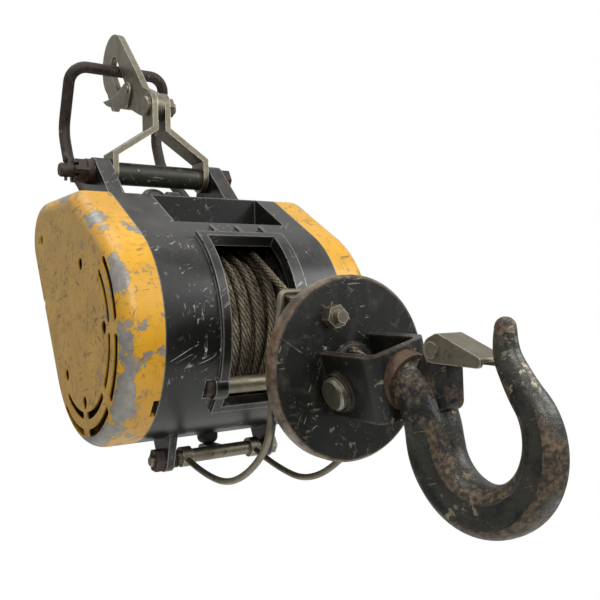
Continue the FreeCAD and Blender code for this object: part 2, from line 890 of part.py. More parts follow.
def cooling_fan():
    x0 = fan_x()
    hub = ring_x(armature_shaft_r + 4, armature_shaft_r, x0, x0 + fan_width)
    plate = ring_x(fan_r, armature_shaft_r, x0, x0 + 1.5)
    blades = []
    for i in range(fan_blades):
        blade = block(x0, x0 + fan_width, armature_shaft_r + 3, fan_r - 0.5, -0.8, 0.8)
        blades.append(turned(blade, 360.0 * i / fan_blades))
    return moved(fused([hub, plate] + blades), 0, motor_y, motor_z)


def brush_holders():
    holders = []
    for flip, reach in ((1, brush_reach), (-1, rear_brush_reach)):
        tube = brush_rod(brush_r, commutator_r + 1, reach, flip)
        holders.append(tube.cut(brush_rod(brush_r - 1.5, commutator_r + 1, reach, flip)))
    return Part.makeCompound(holders)


def brushes():
    blocks = []
    for flip, reach in ((1, brush_reach), (-1, rear_brush_reach)):
        blocks.append(brush_rod(brush_r - 1.5 - running_gap, commutator_r + part_gap, reach - 12, flip))
    return Part.makeCompound(blocks)


def brush_cap(flip, reach):
    a = math.radians(brush_angle_deg)
    way = V(0, flip * math.cos(a), flip * math.sin(a))
    cap = brush_rod(brush_cap_r, reach, reach + brush_cap_height, flip)
    rim = [e for e in cap.Edges if e.Length > 1 and e.BoundBox.Center.sub(
        V(brush_x, motor_y, motor_z) + way * (reach + brush_cap_height)).Length < 0.1]
    cap = cap.makeChamfer(1.5, rim)
    groove = brush_rod(brush_cap_r - 2.5, reach + brush_cap_height - 0.8, reach + brush_cap_height, flip)
    groove = groove.cut(brush_rod(brush_cap_r - 4, reach, reach + brush_cap_height, flip))
    slot = turned(block(brush_x - brush_cap_r + 4, brush_x + brush_cap_r - 4, -1.0, 1.0, -1.5, 1.5),
                  brush_angle_deg, X_AXIS)
    centre = way * (reach + brush_cap_height)
    return cap.cut([groove, moved(slot, 0, motor_y + centre.y, motor_z + centre.z)])


def brush_caps():
    return Part.makeCompound([brush_cap(1, brush_reach), brush_cap(-1, rear_brush_reach)])


def gland_axis():
    """Middle of the gland's foot on the back wall, and the wall's outward direction."""
    span = math.hypot(motor_y, motor_z)
    spread = math.acos((drum_house_r - motor_house_r) / span)
    a = math.atan2(motor_z, motor_y) - spread
    way = V(0, math.cos(a), math.sin(a))
    low = way * drum_house_r
    high = V(0, motor_y, motor_z) + way * motor_house_r
    return low + (high - low) * gland_back_share + V(gland_x, 0, 0), way


def cable_gland():
    place, way = gland_axis()
    foot = Part.makeCylinder(gland_r, gland_length / 3, place, way)
    nose_foot = place + way * (gland_length / 3)
    nose = Part.makeCone(gland_r - 1.5, gland_r - 4, 2 * gland_length / 3, nose_foot, way)
    inside = place - way * housing_wall
    spigot = Part.makeCylinder(gland_bore_r - running_gap, housing_wall, inside, way)
    cable_way = Part.makeCylinder(gland_bore_r - 2, 2 * gland_length, inside, way)
    return fused([foot, nose, spigot]).cut(cable_way)


def suspension_bolt():
    head_x = ear_outer_x + right_washer
    tail_x = -ear_outer_x - left_washer - nut_height - bolt_tail
    shank = rod_x(bolt_r, tail_x, head_x, bolt_y, bolt_z)
    shank = shank.makeChamfer(1.2, end_edges(shank, tail_x))
    below = V(cotter_x(), bolt_y, bolt_z - 2 * bolt_r)
    hole = Part.makeCylinder(cotter_r + running_gap, 4 * bolt_r, below, Z_AXIS)
    return shank.fuse(hex_x(nut_flats, head_x, head_x + head_height, bolt_y, bolt_z)).cut(hole)


def cotter_x():
    return -ear_outer_x - left_washer - nut_height - bolt_tail / 2


def castle_nut():
    x1 = -ear_outer_x - left_washer
    x0 = x1 - nut_height
    nut = hex_x(nut_flats, x0, x1, bolt_y, bolt_z).cut(rod_x(bolt_r + running_gap, x0, x1, bolt_y, bolt_z))
    slot = block(x0, x0 + nut_height / 3, -nut_flats, nut_flats, -cotter_r - 0.3, cotter_r + 0.3)
    for i in range(3):
        nut = nut.cut(moved(turned(slot, 60 * i + 90), 0, bolt_y, bolt_z))
    return nut


def cotter_pin():
    leg = Part.makeCylinder(cotter_r, 2 * cotter_reach, V(cotter_x(), bolt_y, bolt_z - cotter_reach), Z_AXIS)
    eye_z = bolt_z + cotter_reach + cotter_r
    eye = ring_x(3 * cotter_r, cotter_r, cotter_x() - cotter_r, cotter_x() + cotter_r, bolt_y, eye_z)
    return leg.cut(rod_x(2 * cotter_r, cotter_x() - 9, cotter_x() + 9, bolt_y, eye_z)).fuse(eye)


def bolt_washers():
    left = ring_x(washer_r, bolt_r + running_gap, -ear_outer_x - left_washer, -ear_outer_x, bolt_y, bolt_z)
    right = ring_x(washer_r, bolt_r + running_gap, ear_outer_x, ear_outer_x + right_washer, bolt_y, bolt_z)
    return Part.makeCompound([left, right])


def hanger_strap(side):
    """Flat bar set in twice, from the bolt up to the hook's pin."""
    spine = [(strap_x, bolt_z - strap_width), (strap_x, strap_lower_bend_z),
             (strap_top_x, strap_upper_bend_z), (strap_top_x, hanger_pin_z + strap_width)]
    points = [V(side * x, 0, z) for x, z in strip(spine, strap_thickness)]
    bar = Part.Face(Part.makePolygon(points + points[:1])).extrude(V(0, strap_width, 0))
    bar = moved(bar, 0, bolt_y - strap_width / 2)
    plan = hull([(bolt_y, bolt_z, strap_width / 2), (bolt_y, hanger_pin_z, strap_width / 2)])
    bar = bar.common(slab(plan, -end_x, end_x))
    holes = [rod_x(bolt_r + running_gap, -end_x, end_x, bolt_y, bolt_z),
             rod_x(hanger_pin_r + running_gap, -end_x, end_x, bolt_y, hanger_pin_z)]
    return bar.cut(holes)


def left_hanger_strap():
    return hanger_strap(-1)


def right_hanger_strap():
    return hanger_strap(1)


def spacer_sleeve():
    reach = strap_x - strap_thickness / 2
    return ring_x(sleeve_r, bolt_r + running_gap, -reach, reach, bolt_y, bolt_z)


def hanger_pin():
    reach = strap_top_x + strap_thickness / 2
    head = rod_x(hanger_pin_r + 3.5, -reach - 3, -reach, bolt_y, hanger_pin_z)
    head = head.makeChamfer(1.0, end_edges(head, -reach - 3))
    return head.fuse(rod_x(hanger_pin_r, -reach, reach + 9, bolt_y, hanger_pin_z))


def hanger_nut():
    reach = strap_top_x + strap_thickness / 2
    nut = hex_x(3.2 * hanger_pin_r, reach, reach + 6, bolt_y, hanger_pin_z)
    return nut.cut(rod_x(hanger_pin_r + running_gap, reach, reach + 6, bolt_y, hanger_pin_z))


def lean_back(shape):
    """From the plate hook's own upright frame to its place behind the pin."""
    return moved(turned(shape, -plate_lean_deg), 0, bolt_y, hanger_pin_z)


def latch_end():
    return slot_v + 1.6 * slot_r, plate_tip_u - 11


def latch_sweep():
    """Room for the end of the latch on its way open."""
    end_v, end_u = latch_end()
    reach = math.hypot(end_v - latch_pivot_v, end_u - latch_pivot_u)
    rest = math.atan2(end_u - latch_pivot_u, end_v - latch_pivot_v)
    turns = [rest + math.radians(latch_open_deg) * share for share in (0.0, 0.5, 1.0)]
    return hull([(latch_pivot_v + reach * math.cos(a), latch_pivot_u + reach * math.sin(a),
                  latch_tip_r + part_gap) for a in turns])


def plate_hook():
    """Flamed plate: a spine, a round head with the hook's slot, and a nose with a tip."""
    half = plate_thickness / 2
    waist = (plate_waist_r + 1, plate_waist_u, plate_waist_r)
    nose_v = slot_v + slot_r + 9
    foot = slab(hull([(0, 0, plate_foot_r), waist]), -half, half)
    spine = slab(hull([waist, (plate_waist_r + 2, 2 * plate_waist_u, plate_waist_r + 1.5),
                       (plate_head_v, plate_head_u, plate_head_r)]), -half, half)
    nose = slab(hull([(nose_v + 11, plate_tip_u, 5.0), (nose_v + 2, slot_u, 9.0)]), -half, half)
    slot = slab(hull([(slot_v + 4, plate_tip_u - 12, slot_r), (slot_v, slot_u, slot_r)]), -half, half)
    mouth = slab(hull([(slot_v + 6, plate_tip_u - 16, slot_r), (slot_v + 45, plate_tip_u - 42, slot_r),
                       (slot_v + 45, plate_tip_u - 22, slot_r)]), -half, half)
    plate = fused([foot, spine, nose]).cut([slot, mouth, slab(latch_sweep(), -half, half)])
    holes = [rod_x(hanger_pin_r + running_gap, -half, half),
             rod_x(2 + running_gap, -half, half, latch_pivot_v, latch_pivot_u)]
    return lean_back(plate.cut(holes).removeSplitter())


def plate_latch_pin():
    reach = plate_thickness / 2 + latch_cheek + part_gap
    pin = rod_x(2, -reach - 1.2, reach + 1.2)
    heads = [rod_x(3.5, -reach - 1.2, -reach), rod_x(3.5, reach, reach + 1.2)]
    return lean_back(moved(fused([pin] + heads), 0, latch_pivot_v, latch_pivot_u))


def plate_latch():
    """Folded gate across the plate hook's mouth, with a cheek each side of the plate."""
    inside = plate_thickness / 2 + part_gap
    outside = inside + latch_cheek
    end_v, end_u = latch_end()
    gate = slab(hull([(latch_pivot_v, latch_pivot_u, 5.0), (end_v, end_u, latch_tip_r)]), -outside, outside)
    length = math.hypot(end_v - latch_pivot_v, end_u - latch_pivot_u)
    gap = rod_x(length - latch_tip_r, -inside, inside, latch_pivot_v, latch_pivot_u)
    gate = gate.cut([gap, rod_x(2 + running_gap, -outside, outside, latch_pivot_v, latch_pivot_u)])
    spur = slab(hull([(end_v - 2, end_u - 3, 1.5), (end_v + 0.3 * length, end_u - 0.55 * length, 0.8)]),
                inside, outside)
    return lean_back(gate.fuse(spur).removeSplitter())


def handle_bar_place():
    a = math.radians(plate_lean_deg)
    y = bolt_y + handle_bar_v * math.cos(a) + handle_bar_u * math.sin(a)
    z = hanger_pin_z - handle_bar_v * math.sin(a) + handle_bar_u * math.cos(a)
    return y, z


def carry_handle():
    bar_y, bar_z = handle_bar_place()
    leg = [(handle_pivot_y, handle_pivot_z), (handle_elbow_y, handle_elbow_z),
           (handle_crest_y, handle_crest_z), (bar_y, bar_z)]
    tail = handle_lug_inner_x
    points = [V(-tail, handle_pivot_y, handle_pivot_z)]
    points += [V(-handle_half_width, y, z) for y, z in leg]
    points += [V(handle_half_width, y, z) for y, z in reversed(leg)]
    points.append(V(tail, handle_pivot_y, handle_pivot_z))
    pin_bend = 1.4 * handle_r
    corner_bend = 3 * handle_r
    radii = [pin_bend, 40.0, 26.0, corner_bend, corner_bend, 26.0, 40.0, pin_bend]
    return bent_rod(points, radii, handle_r)


def roller_bolt():
    y, z = roller_place()
    head_x = window_left - rim_right
    shank = rod_x(roller_bolt_r, head_x, window_right + rim_right, y, z)
    head = rod_x(roller_head_r, head_x - roller_head_length, head_x, y, z)
    return shank.fuse(head.makeChamfer(1.0, end_edges(head, head_x - roller_head_length)))


def rope_roller():
    y, z = roller_place()
    x0 = window_left + part_gap
    return ring_x(roller_r, roller_bolt_r + running_gap, x0, window_right - part_gap, y, z)


def lever_bolt():
    x0 = lever_lug_left - lever_lug_width
    x1 = lever_lug_right + lever_lug_width
    shank = rod_x(lever_bolt_r, x0 - lever_bolt_tail, x1, lever_y, lever_z)
    shank = shank.makeChamfer(lever_bolt_r / 5, end_edges(shank, x0 - lever_bolt_tail))
    return shank.fuse(hex_x(lever_head_flats, x1, x1 + lever_head_height, lever_y, lever_z))


def lever_nut():
    x1 = lever_lug_left - lever_lug_width
    nut = hex_x(lever_nut_flats, x1 - lever_nut_height, x1, lever_y, lever_z)
    return nut.cut(rod_x(lever_bolt_r + running_gap, x1 - lever_nut_height, x1, lever_y, lever_z))


def lever_spring():
    """Close-wound return spring on the lever's tube, drawn as one ridged sleeve."""
    inner = lever_tube_r + running_gap
    valley = inner + lever_spring_wire_r
    x0 = lever_lug_left + part_gap
    pitch = 2 * lever_spring_wire_r
    profile = [V(x0, 0, inner)]
    for i in range(lever_spring_turns):
        x = x0 + i * pitch
        profile += [V(x, 0, valley), V(x + pitch / 4, 0, inner + pitch)]
        profile.append(V(x + 3 * pitch / 4, 0, inner + pitch))
    x1 = x0 + lever_spring_turns * pitch
    return moved(revolved(profile + [V(x1, 0, valley), V(x1, 0, inner)]), 0, lever_y, lever_z)


def lever_wire():
    """Wire frame round the rope, bent up in front of the window from two arms on the tube."""
    low_y = lever_y - lever_arm_reach
    points = [
        V(lever_left_x, lever_y, lever_z),
        V(lever_left_x - 4, low_y, lever_low_z),
        V(lever_left_x - 3, lever_front_y, lever_z + lever_left_knee),
        V(lever_left_top_x, lever_front_y, lever_top_z),
        V(lever_right_top_x, lever_front_y, lever_top_z),
        V(lever_right_top_x, lever_front_y, lever_z + lever_right_knee),
        V(lever_right_x - 4, low_y - 12, lever_low_z),
        V(lever_right_x, lever_y, lever_z),
    ]
    return bent_rod(points, [34.0, 34.0, 8.0, 8.0, 30.0, 34.0], lever_wire_r)


def limit_lever():
    x0 = lever_lug_left + part_gap
    x1 = lever_lug_right - part_gap
    bodies = [rod_x(lever_tube_r, x0, x1, lever_y, lever_z), lever_wire()]
    for x in (lever_left_x, lever_right_x):
        bodies.append(rod_x(lever_collar_r, x - lever_collar_width / 2, x + lever_collar_width / 2,
                            lever_y, lever_z))
    cam_r = 5.0
    cam = hull([(lever_y, lever_z, lever_tube_r), (boot_y, boot_bottom_z - part_gap - cam_r, cam_r)])
    bodies.append(slab(cam, cam_x - cam_width / 2, cam_x + cam_width / 2))
    return fused(bodies).cut(rod_x(lever_bolt_r + running_gap, x0 - 1, x1 + 1, lever_y, lever_z))


def switch_boot():
    """Rubber dome over the limit switch's plunger, under the housing."""
    top_z = -math.sqrt(drum_house_r ** 2 - boot_y ** 2) + 3
    dome = Part.makeCylinder(boot_r, top_z - boot_bottom_z, V(cam_x, boot_y, boot_bottom_z), Z_AXIS)
    rim = [e for e in dome.Edges if e.BoundBox.ZMax < boot_bottom_z + 0.1]
    return dome.makeFillet(boot_r * 0.6, rim).cut(rod_x(drum_house_r, -half_length, half_length))


def in_block(shape):
    """From the hook block's own frame, front face of its disc at the origin, to its place."""
    return moved(turned(shape, -block_roll_deg, Y_AXIS), block_x, block_y, block_z)


def axle_place():
    a = math.radians(block_roll_deg)
    return V(block_x - axle_drop * math.sin(a), block_y - axle_forward, block_z - axle_drop * math.cos(a))


def block_disc():
    """Pressed round plate with its rim turned back towards the winch."""
    inner = disc_r - disc_plate
    profile = [V(disc_hole_r, 0, 0), V(disc_r - 1.5, 0, 0), V(disc_r, 1.5, 0), V(disc_r, disc_rim, 0),
               V(inner, disc_rim, 0), V(inner, disc_plate, 0), V(disc_hole_r, disc_plate, 0)]
    disc = revolved(profile, Y_AXIS)
    place = V(disc_bolt_side, 0, disc_bolt_up)
    hole = Part.makeCylinder(disc_bolt_r + running_gap, disc_plate, place, Y_AXIS)
    return in_block(disc.cut(hole))


def block_yoke():
    """Strap bent to a U in front of the disc, with a boss at the axle and a bore for the shank."""
    half = yoke_width / 2
    outer = block(-half, half, -yoke_length, 0, -yoke_height / 2, yoke_height / 2)
    front = [e for e in outer.Edges if abs(e.BoundBox.YMax + yoke_length) < 0.01 and e.BoundBox.ZLength > 1]
    outer = outer.makeFillet(yoke_bend_r, front)
    half_in = half - yoke_strap
    inner = block(-half_in, half_in, yoke_strap - yoke_length, 0, -yoke_height / 2, yoke_height / 2)
    front = [e for e in inner.Edges
             if abs(e.BoundBox.YMax - yoke_strap + yoke_length) < 0.01 and e.BoundBox.ZLength > 1]
    strap = outer.cut(inner.makeFillet(yoke_bend_r - yoke_strap, front))
    bosses = []
    for x in (-half - axle_boss_height, half):
        bosses.append(rod_x(axle_boss_r, x, x + axle_boss_height, -axle_forward, -axle_drop))
    strap = fused([moved(strap, 0, 0, -yoke_drop)] + bosses)
    reach = half + axle_boss_height
    front = V(0, -yoke_length - yoke_strap / 2, -yoke_drop)
    cuts = [rod_x(axle_r + running_gap, -reach, reach, -axle_forward, -axle_drop),
            Part.makeCylinder(yoke_bore_r, 2 * yoke_strap, front, Y_AXIS)]
    return in_block(strap.cut(cuts))


def block_axle():
    reach = yoke_width / 2 + axle_boss_height
    pin = rod_x(axle_r, -reach, reach + 4, -axle_forward, -axle_drop)
    head = rod_x(axle_head_r, -reach - axle_head_height, -reach, -axle_forward, -axle_drop)
    head = head.makeChamfer(1.2, end_edges(head, -reach - axle_head_height))
    return in_block(pin.fuse(head))


def rope_loop(margin):
    """Rope bent into a ring on the axle, with an eight-sided section."""
    corner = (rope_r + margin) / math.cos(math.pi / 8)
    turns = [math.pi / 8 + math.pi / 4 * i for i in range(8)]
    return revolved([V(corner * math.cos(a), 0, thimble_r + 1 + corner * math.sin(a)) for a in turns])


def rope_thimble():
    """Grooved ring on the axle that the rope's eye lies in."""
    ring = ring_x(thimble_r, axle_r + running_gap, -thimble_width / 2, thimble_width / 2)
    return in_block(moved(ring.cut(rope_loop(seat_gap)), 0, -axle_forward, -axle_drop))


def rope_eye():
    return in_block(moved(rope_loop(0.0), 0, -axle_forward, -axle_drop))


def rope_line():
    """Where the rope leaves the wound turns, and its unit direction from the axle back to there."""
    axle = axle_place()
    lie_r = pack_r + rope_r + part_gap
    reach = math.hypot(axle.y, axle.z)
    towards = math.atan2(axle.z, -axle.y)
    lift = math.acos(lie_r / reach)
    leave = V(rope_exit_x, -lie_r * math.cos(towards + lift), lie_r * math.sin(towards + lift))
    return leave, (leave - axle).normalize()


def rope_ferrule():
    leave, way = rope_line()
    near = thimble_r + 1 + rope_r + part_gap
    sleeve = Part.makeCylinder(ferrule_r, ferrule_length, axle_place() + way * near, way)
    return sleeve.makeChamfer(1.0, [e for e in sleeve.Edges if e.Curve.TypeId == "Part::GeomCircle"])


def rope_fall():
    leave, way = rope_line()
    start = axle_place() + way * (thimble_r + 1 + rope_r + part_gap + ferrule_length)
    return Part.makeCylinder(rope_r, (leave - start).Length, start, way)


def disc_bolt():
    place = V(disc_bolt_side, disc_plate, disc_bolt_up)
    head = turned(hex_x(disc_nut_flats, 0, 5), 90, Z_AXIS)
    shank = Part.makeCylinder(disc_bolt_r, disc_plate + disc_nut_height + 5, place, -Y_AXIS)
    return in_block(shank.fuse(moved(head, place.x, place.y, place.z)))


def disc_nut():
    nut = turned(hex_x(disc_nut_flats, 0, disc_nut_height), -90, Z_AXIS)
    nut = nut.cut(Part.makeCylinder(disc_bolt_r + running_gap, disc_nut_height, V(0, 0, 0), -Y_AXIS))
    return in_block(moved(nut, disc_bolt_side, 0, disc_bolt_up))


def swivel_place():
    return V(block_x, block_y - yoke_length, block_z - yoke_drop)


def in_hook(shape):
    """From the hook's own frame, shank along -Y from the yoke's outer face, to its tilted place."""
    place = swivel_place()
    return moved(turned(shape, hook_tilt_deg), place.x, place.y, place.z)


def hook_section(y, z, radius, way_y, way_z):
    return Part.Wire(Part.makeCircle(radius, V(0, y, z), V(0, way_y, way_z)))


def hook_bow():
    """Forged bow: round sections that thicken to the bottom and taper to the turned-out nose."""
    low = swivel_washer + 4
    sections = [hook_section(-low, 0, neck_r, -1, 0)]
    for i in range(hook_stations):
        deg = bow_start_deg + (bow_end_deg - bow_start_deg) * i / (hook_stations - 1)
        a = math.radians(deg)
        if deg < 270:
            share = (deg - bow_start_deg) / (270 - bow_start_deg)
            radius = hook_back_r + (hook_bottom_r - hook_back_r) * share
        else:
            share = (deg - 270) / (bow_end_deg - 270)
            radius = hook_bottom_r + (hook_point_r - hook_bottom_r) * share
        forward = bow_forward + bow_r * math.cos(a)
        up = bow_drop + bow_r * math.sin(a)
        sections.append(hook_section(-forward, up, radius, math.sin(a), math.cos(a)))
    a = math.radians(bow_end_deg)
    forward = bow_forward + bow_r * math.cos(a)
    up = bow_drop + bow_r * math.sin(a)
    sections.append(hook_section(-forward + 14.5, up + 13, (hook_point_r + hook_nose_r) / 2, 0.6, 0.8))
    sections.append(hook_section(-forward + 20, up + 27, hook_nose_r, 0.15, 1))
    return Part.makeLoft(sections, True, False), V(0, -forward + 20, up + 27)


def load_hook():
    bow, nose = hook_bow()
    low = swivel_washer + 4
    tip = Part.makeSphere(hook_nose_r, nose)
    start = swivel_washer + running_gap
    neck = Part.makeCylinder(neck_r, low - start, V(0, -start, 0), -Y_AXIS)
    length = start + shank_nut_seat() + shank_nut_height + 1
    shank = Part.makeCylinder(shank_r, length, V(0, -start, 0), Y_AXIS)
    lug = slab(hull([(-latch_hinge_forward, latch_hinge_up, latch_hinge_r), (-low - 6, 4, 6.0),
                     (-latch_hinge_forward - 9, 2, 6.0)]), -latch_lug_width / 2, latch_lug_width / 2)
    hook = fused([bow, tip, neck, shank, lug])
    hinge = rod_x(latch_hinge_pin_r + running_gap, -latch_lug_width, latch_lug_width,
                  -latch_hinge_forward, latch_hinge_up)
    return in_hook(hook.cut(hinge))


def swivel_seat():
    """Wedge washer on the yoke's face, which gives the shank its downward tilt."""
    reach = 2 * swivel_washer_r
    ring = Part.makeCylinder(swivel_washer_r, swivel_washer + reach, V(0, -swivel_washer, 0), Y_AXIS)
    bore = Part.makeCylinder(shank_r + running_gap, swivel_washer + reach, V(0, -swivel_washer, 0), Y_AXIS)
    place = swivel_place()
    behind = block(-reach, reach, 0, 2 * reach, -reach, reach)
    return in_hook(ring.cut(bore)).cut(moved(behind, place.x, place.y, place.z))


def shank_nut_seat():
    """Height of the nut over the swivel's foot, clear of the yoke's inner face all round."""
    return yoke_strap + part_gap + math.tan(math.radians(hook_tilt_deg)) * shank_nut_flats * 0.6


def shank_nut():
    nut = turned(hex_x(shank_nut_flats, 0, shank_nut_height), 90, Z_AXIS)
    nut = moved(nut, 0, shank_nut_seat())
    return in_hook(nut.cut(Part.makeCylinder(shank_r, 4 * shank_nut_height, V(0, 0, 0), Y_AXIS)))


def gate_pin():
    reach = gate_width / 2
    pin = rod_x(latch_hinge_pin_r, -reach - 1.5, reach + 1.5)
    head_r = latch_hinge_pin_r + 2
    heads = [rod_x(head_r, -reach - 1.5, -reach), rod_x(head_r, reach, reach + 1.5)]
    return in_hook(moved(fused([pin] + heads), 0, -latch_hinge_forward, latch_hinge_up))


def hook_gate():
    """Pressed safety gate: two cheeks on the hinge pin and a roof that meets the hook's nose."""
    half = gate_width / 2
    profile = hull([(0, 0, latch_hinge_r), (-gate_length, 4, 3.0), (-2, 5, 4.5)])
    gate = slab(profile, -half, half)
    hollow = hull([(0, 0, latch_hinge_r + 1), (-gate_length - 6, 1.5, 3.0), (-2, -8, latch_hinge_r + 1)])
    gate = gate.cut(slab(hollow, gate_sheet - half, half - gate_sheet))
    gate = gate.cut(rod_x(latch_hinge_pin_r + running_gap, -half, half))
    return in_hook(moved(gate, 0, -latch_hinge_forward, latch_hinge_up))


PIECES = [
    housing, left_cover, right_cover, left_cover_screws, right_cover_screws,
    drum, drum_shaft, rope_pack, drum_bearings, drum_wheel, lay_wheel, lay_pinion, lay_shaft,
    motor_stator, motor_end_shields, motor_bearings, armature_shaft, armature_core, commutator,
    motor_pinion, cooling_fan, brush_holders, brushes, brush_caps, cable_gland,
    suspension_bolt, castle_nut, cotter_pin, bolt_washers,
    left_hanger_strap, right_hanger_strap, spacer_sleeve, hanger_pin, hanger_nut,
    plate_hook, plate_latch_pin, plate_latch, carry_handle,
    roller_bolt, rope_roller, lever_bolt, lever_nut, lever_spring, limit_lever, switch_boot,
    block_disc, block_yoke, block_axle, rope_thimble, rope_eye, rope_ferrule, rope_fall,
    disc_bolt, disc_nut, load_hook, swivel_seat, shank_nut, gate_pin, hook_gate,
]

for make in PIECES:
    piece = moved(make(), 0, -bolt_y, -bolt_z)
    piece.exportStep("parts/" + make.__name__ + ".step")
    print(make.__name__, len(piece.Solids), round(piece.Volume), piece.isValid())
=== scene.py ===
import math

import bpy
from mathutils import Euler, Matrix, Vector, geometry


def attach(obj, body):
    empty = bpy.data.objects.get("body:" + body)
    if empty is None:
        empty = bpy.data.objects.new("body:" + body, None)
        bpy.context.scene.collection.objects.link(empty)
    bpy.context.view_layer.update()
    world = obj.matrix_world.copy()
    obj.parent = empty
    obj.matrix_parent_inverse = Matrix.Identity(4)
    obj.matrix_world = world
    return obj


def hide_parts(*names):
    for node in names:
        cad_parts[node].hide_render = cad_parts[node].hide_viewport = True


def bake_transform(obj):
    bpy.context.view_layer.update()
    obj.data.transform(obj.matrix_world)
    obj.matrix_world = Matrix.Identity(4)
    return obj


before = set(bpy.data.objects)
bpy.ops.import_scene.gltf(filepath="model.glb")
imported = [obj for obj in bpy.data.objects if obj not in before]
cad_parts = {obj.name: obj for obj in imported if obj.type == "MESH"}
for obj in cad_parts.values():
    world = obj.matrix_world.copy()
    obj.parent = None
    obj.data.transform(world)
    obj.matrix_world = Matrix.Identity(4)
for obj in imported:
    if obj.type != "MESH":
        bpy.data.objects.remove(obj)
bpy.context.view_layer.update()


# Housing: one die-cast aluminium shell in satin black paint, bored for the drum and the motor.
# Years of lifting have flecked the paint with pale scars, dusted its top and rubbed its rims bare.
def linear(colour):
    """sRGB hex to the linear colour that a shader socket takes."""
    parts = [int(colour[i:i + 2], 16) / 255 for i in (1, 3, 5)]
    return [c / 12.92 if c <= 0.04045 else ((c + 0.055) / 1.055) ** 2.4 for c in parts] + [1.0]


def put(tree, kind, sockets=None, out=0, **settings):
    """Adds one node with its settings; each socket gets a value or a link."""
    node = tree.nodes.new("ShaderNode" + kind)
    for name, value in settings.items():
        setattr(node, name, value)
    for name, value in (sockets or {}).items():
        if isinstance(value, bpy.types.NodeSocket):
            tree.links.new(value, node.inputs[name])
        else:
            node.inputs[name].default_value = value
    return node.outputs[out] if node.outputs else None


def calc(tree, operation, *values):
    """One sum on numbers or links."""
    return put(tree, "Math", dict(enumerate(values)), operation=operation)


def ramp(tree, value, low=0.0, high=1.0, to=(0.0, 1.0)):
    """Carries low..high over to another range, and holds it at the ends."""
    return put(tree, "MapRange", {"Value": value, "From Min": low, "From Max": high,
                                  "To Min": to[0], "To Max": to[1]})


def mixed(tree, share, low, high):
    """Colour from low to high by share; each is an sRGB hex or a link."""
    low, high = [linear(c) if isinstance(c, str) else c for c in (low, high)]
    return put(tree, "Mix", {0: share, 6: low, 7: high}, out=2, data_type="RGBA")


def new_finish(name):
    """A material with an empty node tree, and the tree."""
    material = bpy.data.materials.new(name)
    material.use_nodes = True
    material.node_tree.nodes.clear()
    return material, material.node_tree


def cloud(tree, size_mm, seed, detail, roughness):
    """Noise about size_mm across, round 0.5."""
    place = put(tree, "TexCoord", out="Object")
    return put(tree, "TexNoise", {"Vector": place, "W": seed, "Scale": 1000 / size_mm, "Detail": detail,
                                  "Roughness": roughness}, noise_dimensions="4D")


def patches(tree, size_mm, low, high, seed, detail=3.0):
    """Cloudy patches about size_mm across, 0 below low and 1 above high."""
    return ramp(tree, cloud(tree, size_mm, seed, detail, 0.6), low, high)


def scratches(tree, gap_mm, turn_deg, thin, seed):
    """Straight hairlines lying one way: the middle contour of a noise drawn out 30 times, in broken
    runs, only on the faces that they run along."""
    turn = Euler([math.radians(d) for d in turn_deg])
    place = put(tree, "TexCoord", out="Object")
    place = put(tree, "Mapping", {"Vector": place, "Rotation": turn, "Scale": (1.0, 1.0, 30.0)},
                vector_type="TEXTURE")
    drawn = put(tree, "TexNoise", {"Vector": place, "W": seed, "Scale": 1000 / gap_mm, "Detail": 1.5,
                                   "Roughness": 0.35, "Distortion": 0.5}, noise_dimensions="4D")
    off = calc(tree, "ABSOLUTE", calc(tree, "SUBTRACT", drawn, 0.5))
    line = ramp(tree, off, thin, thin * 0.3)
    face = put(tree, "NewGeometry", out="Normal")
    lean = put(tree, "VectorMath", {0: face, 1: turn.to_matrix() @ Vector((0.0, 0.0, 1.0))}, out="Value",
               operation="DOT_PRODUCT")
    line = calc(tree, "MULTIPLY", line, ramp(tree, calc(tree, "ABSOLUTE", lean), 0.55, 0.3))
    return calc(tree, "MULTIPLY", line, patches(tree, 1.6 * gap_mm, 0.54, 0.62, seed + 3, 5.0))


def crossed(tree, marks, thin, runs):
    """Other marks with runs of hairlines over them; a run is a gap in mm, a turn in degrees and a seed."""
    for gap_mm, turn_deg, seed in runs:
        marks = calc(tree, "MAXIMUM", marks, scratches(tree, gap_mm, turn_deg, thin, seed))
    return marks


def specks(tree):
    """Small and larger nicks in black paint."""
    small = patches(tree, 1.8, 0.68, 0.71, 4.0, 4.0)
    return calc(tree, "MAXIMUM", small, patches(tree, 4.5, 0.66, 0.69, 5.0, 6.0))


def worn_corners(tree, width_mm, share, seed):
    """1 along the corners, width_mm in, where a rounded normal leans off the face, bitten ragged; share
    says how much of their length is worn."""
    soft = put(tree, "Bevel", {"Radius": width_mm / 1000}, samples=4)
    face = put(tree, "NewGeometry", out="Normal")
    lean = put(tree, "VectorMath", {0: soft, 1: face}, out="Value", operation="DOT_PRODUCT")
    ragged = patches(tree, 5.0, 0.66 - 0.4 * share, 0.72 - 0.4 * share, seed, 6.0)
    return calc(tree, "MULTIPLY", ramp(tree, lean, 0.99, 0.86), ragged)


def surface(tree, colour, roughness, metallic, height, depth_mm, **sockets):
    """Principled surface whose bump is depth_mm high, joined to the material's output."""
    bump = put(tree, "Bump", {"Height": height, "Distance": depth_mm / 1000, "Strength": 1.0})
    shader = put(tree, "BsdfPrincipled", {"Base Color": colour, "Roughness": roughness, "Metallic": metallic,
                                          "Normal": bump, **sockets})
    put(tree, "OutputMaterial", {"Surface": shader})


def dress(material, *nodes):
    """Puts a finish into the slots of carried-over CAD nodes."""
    for node in nodes:
        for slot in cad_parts[node].material_slots:
            slot.material = material


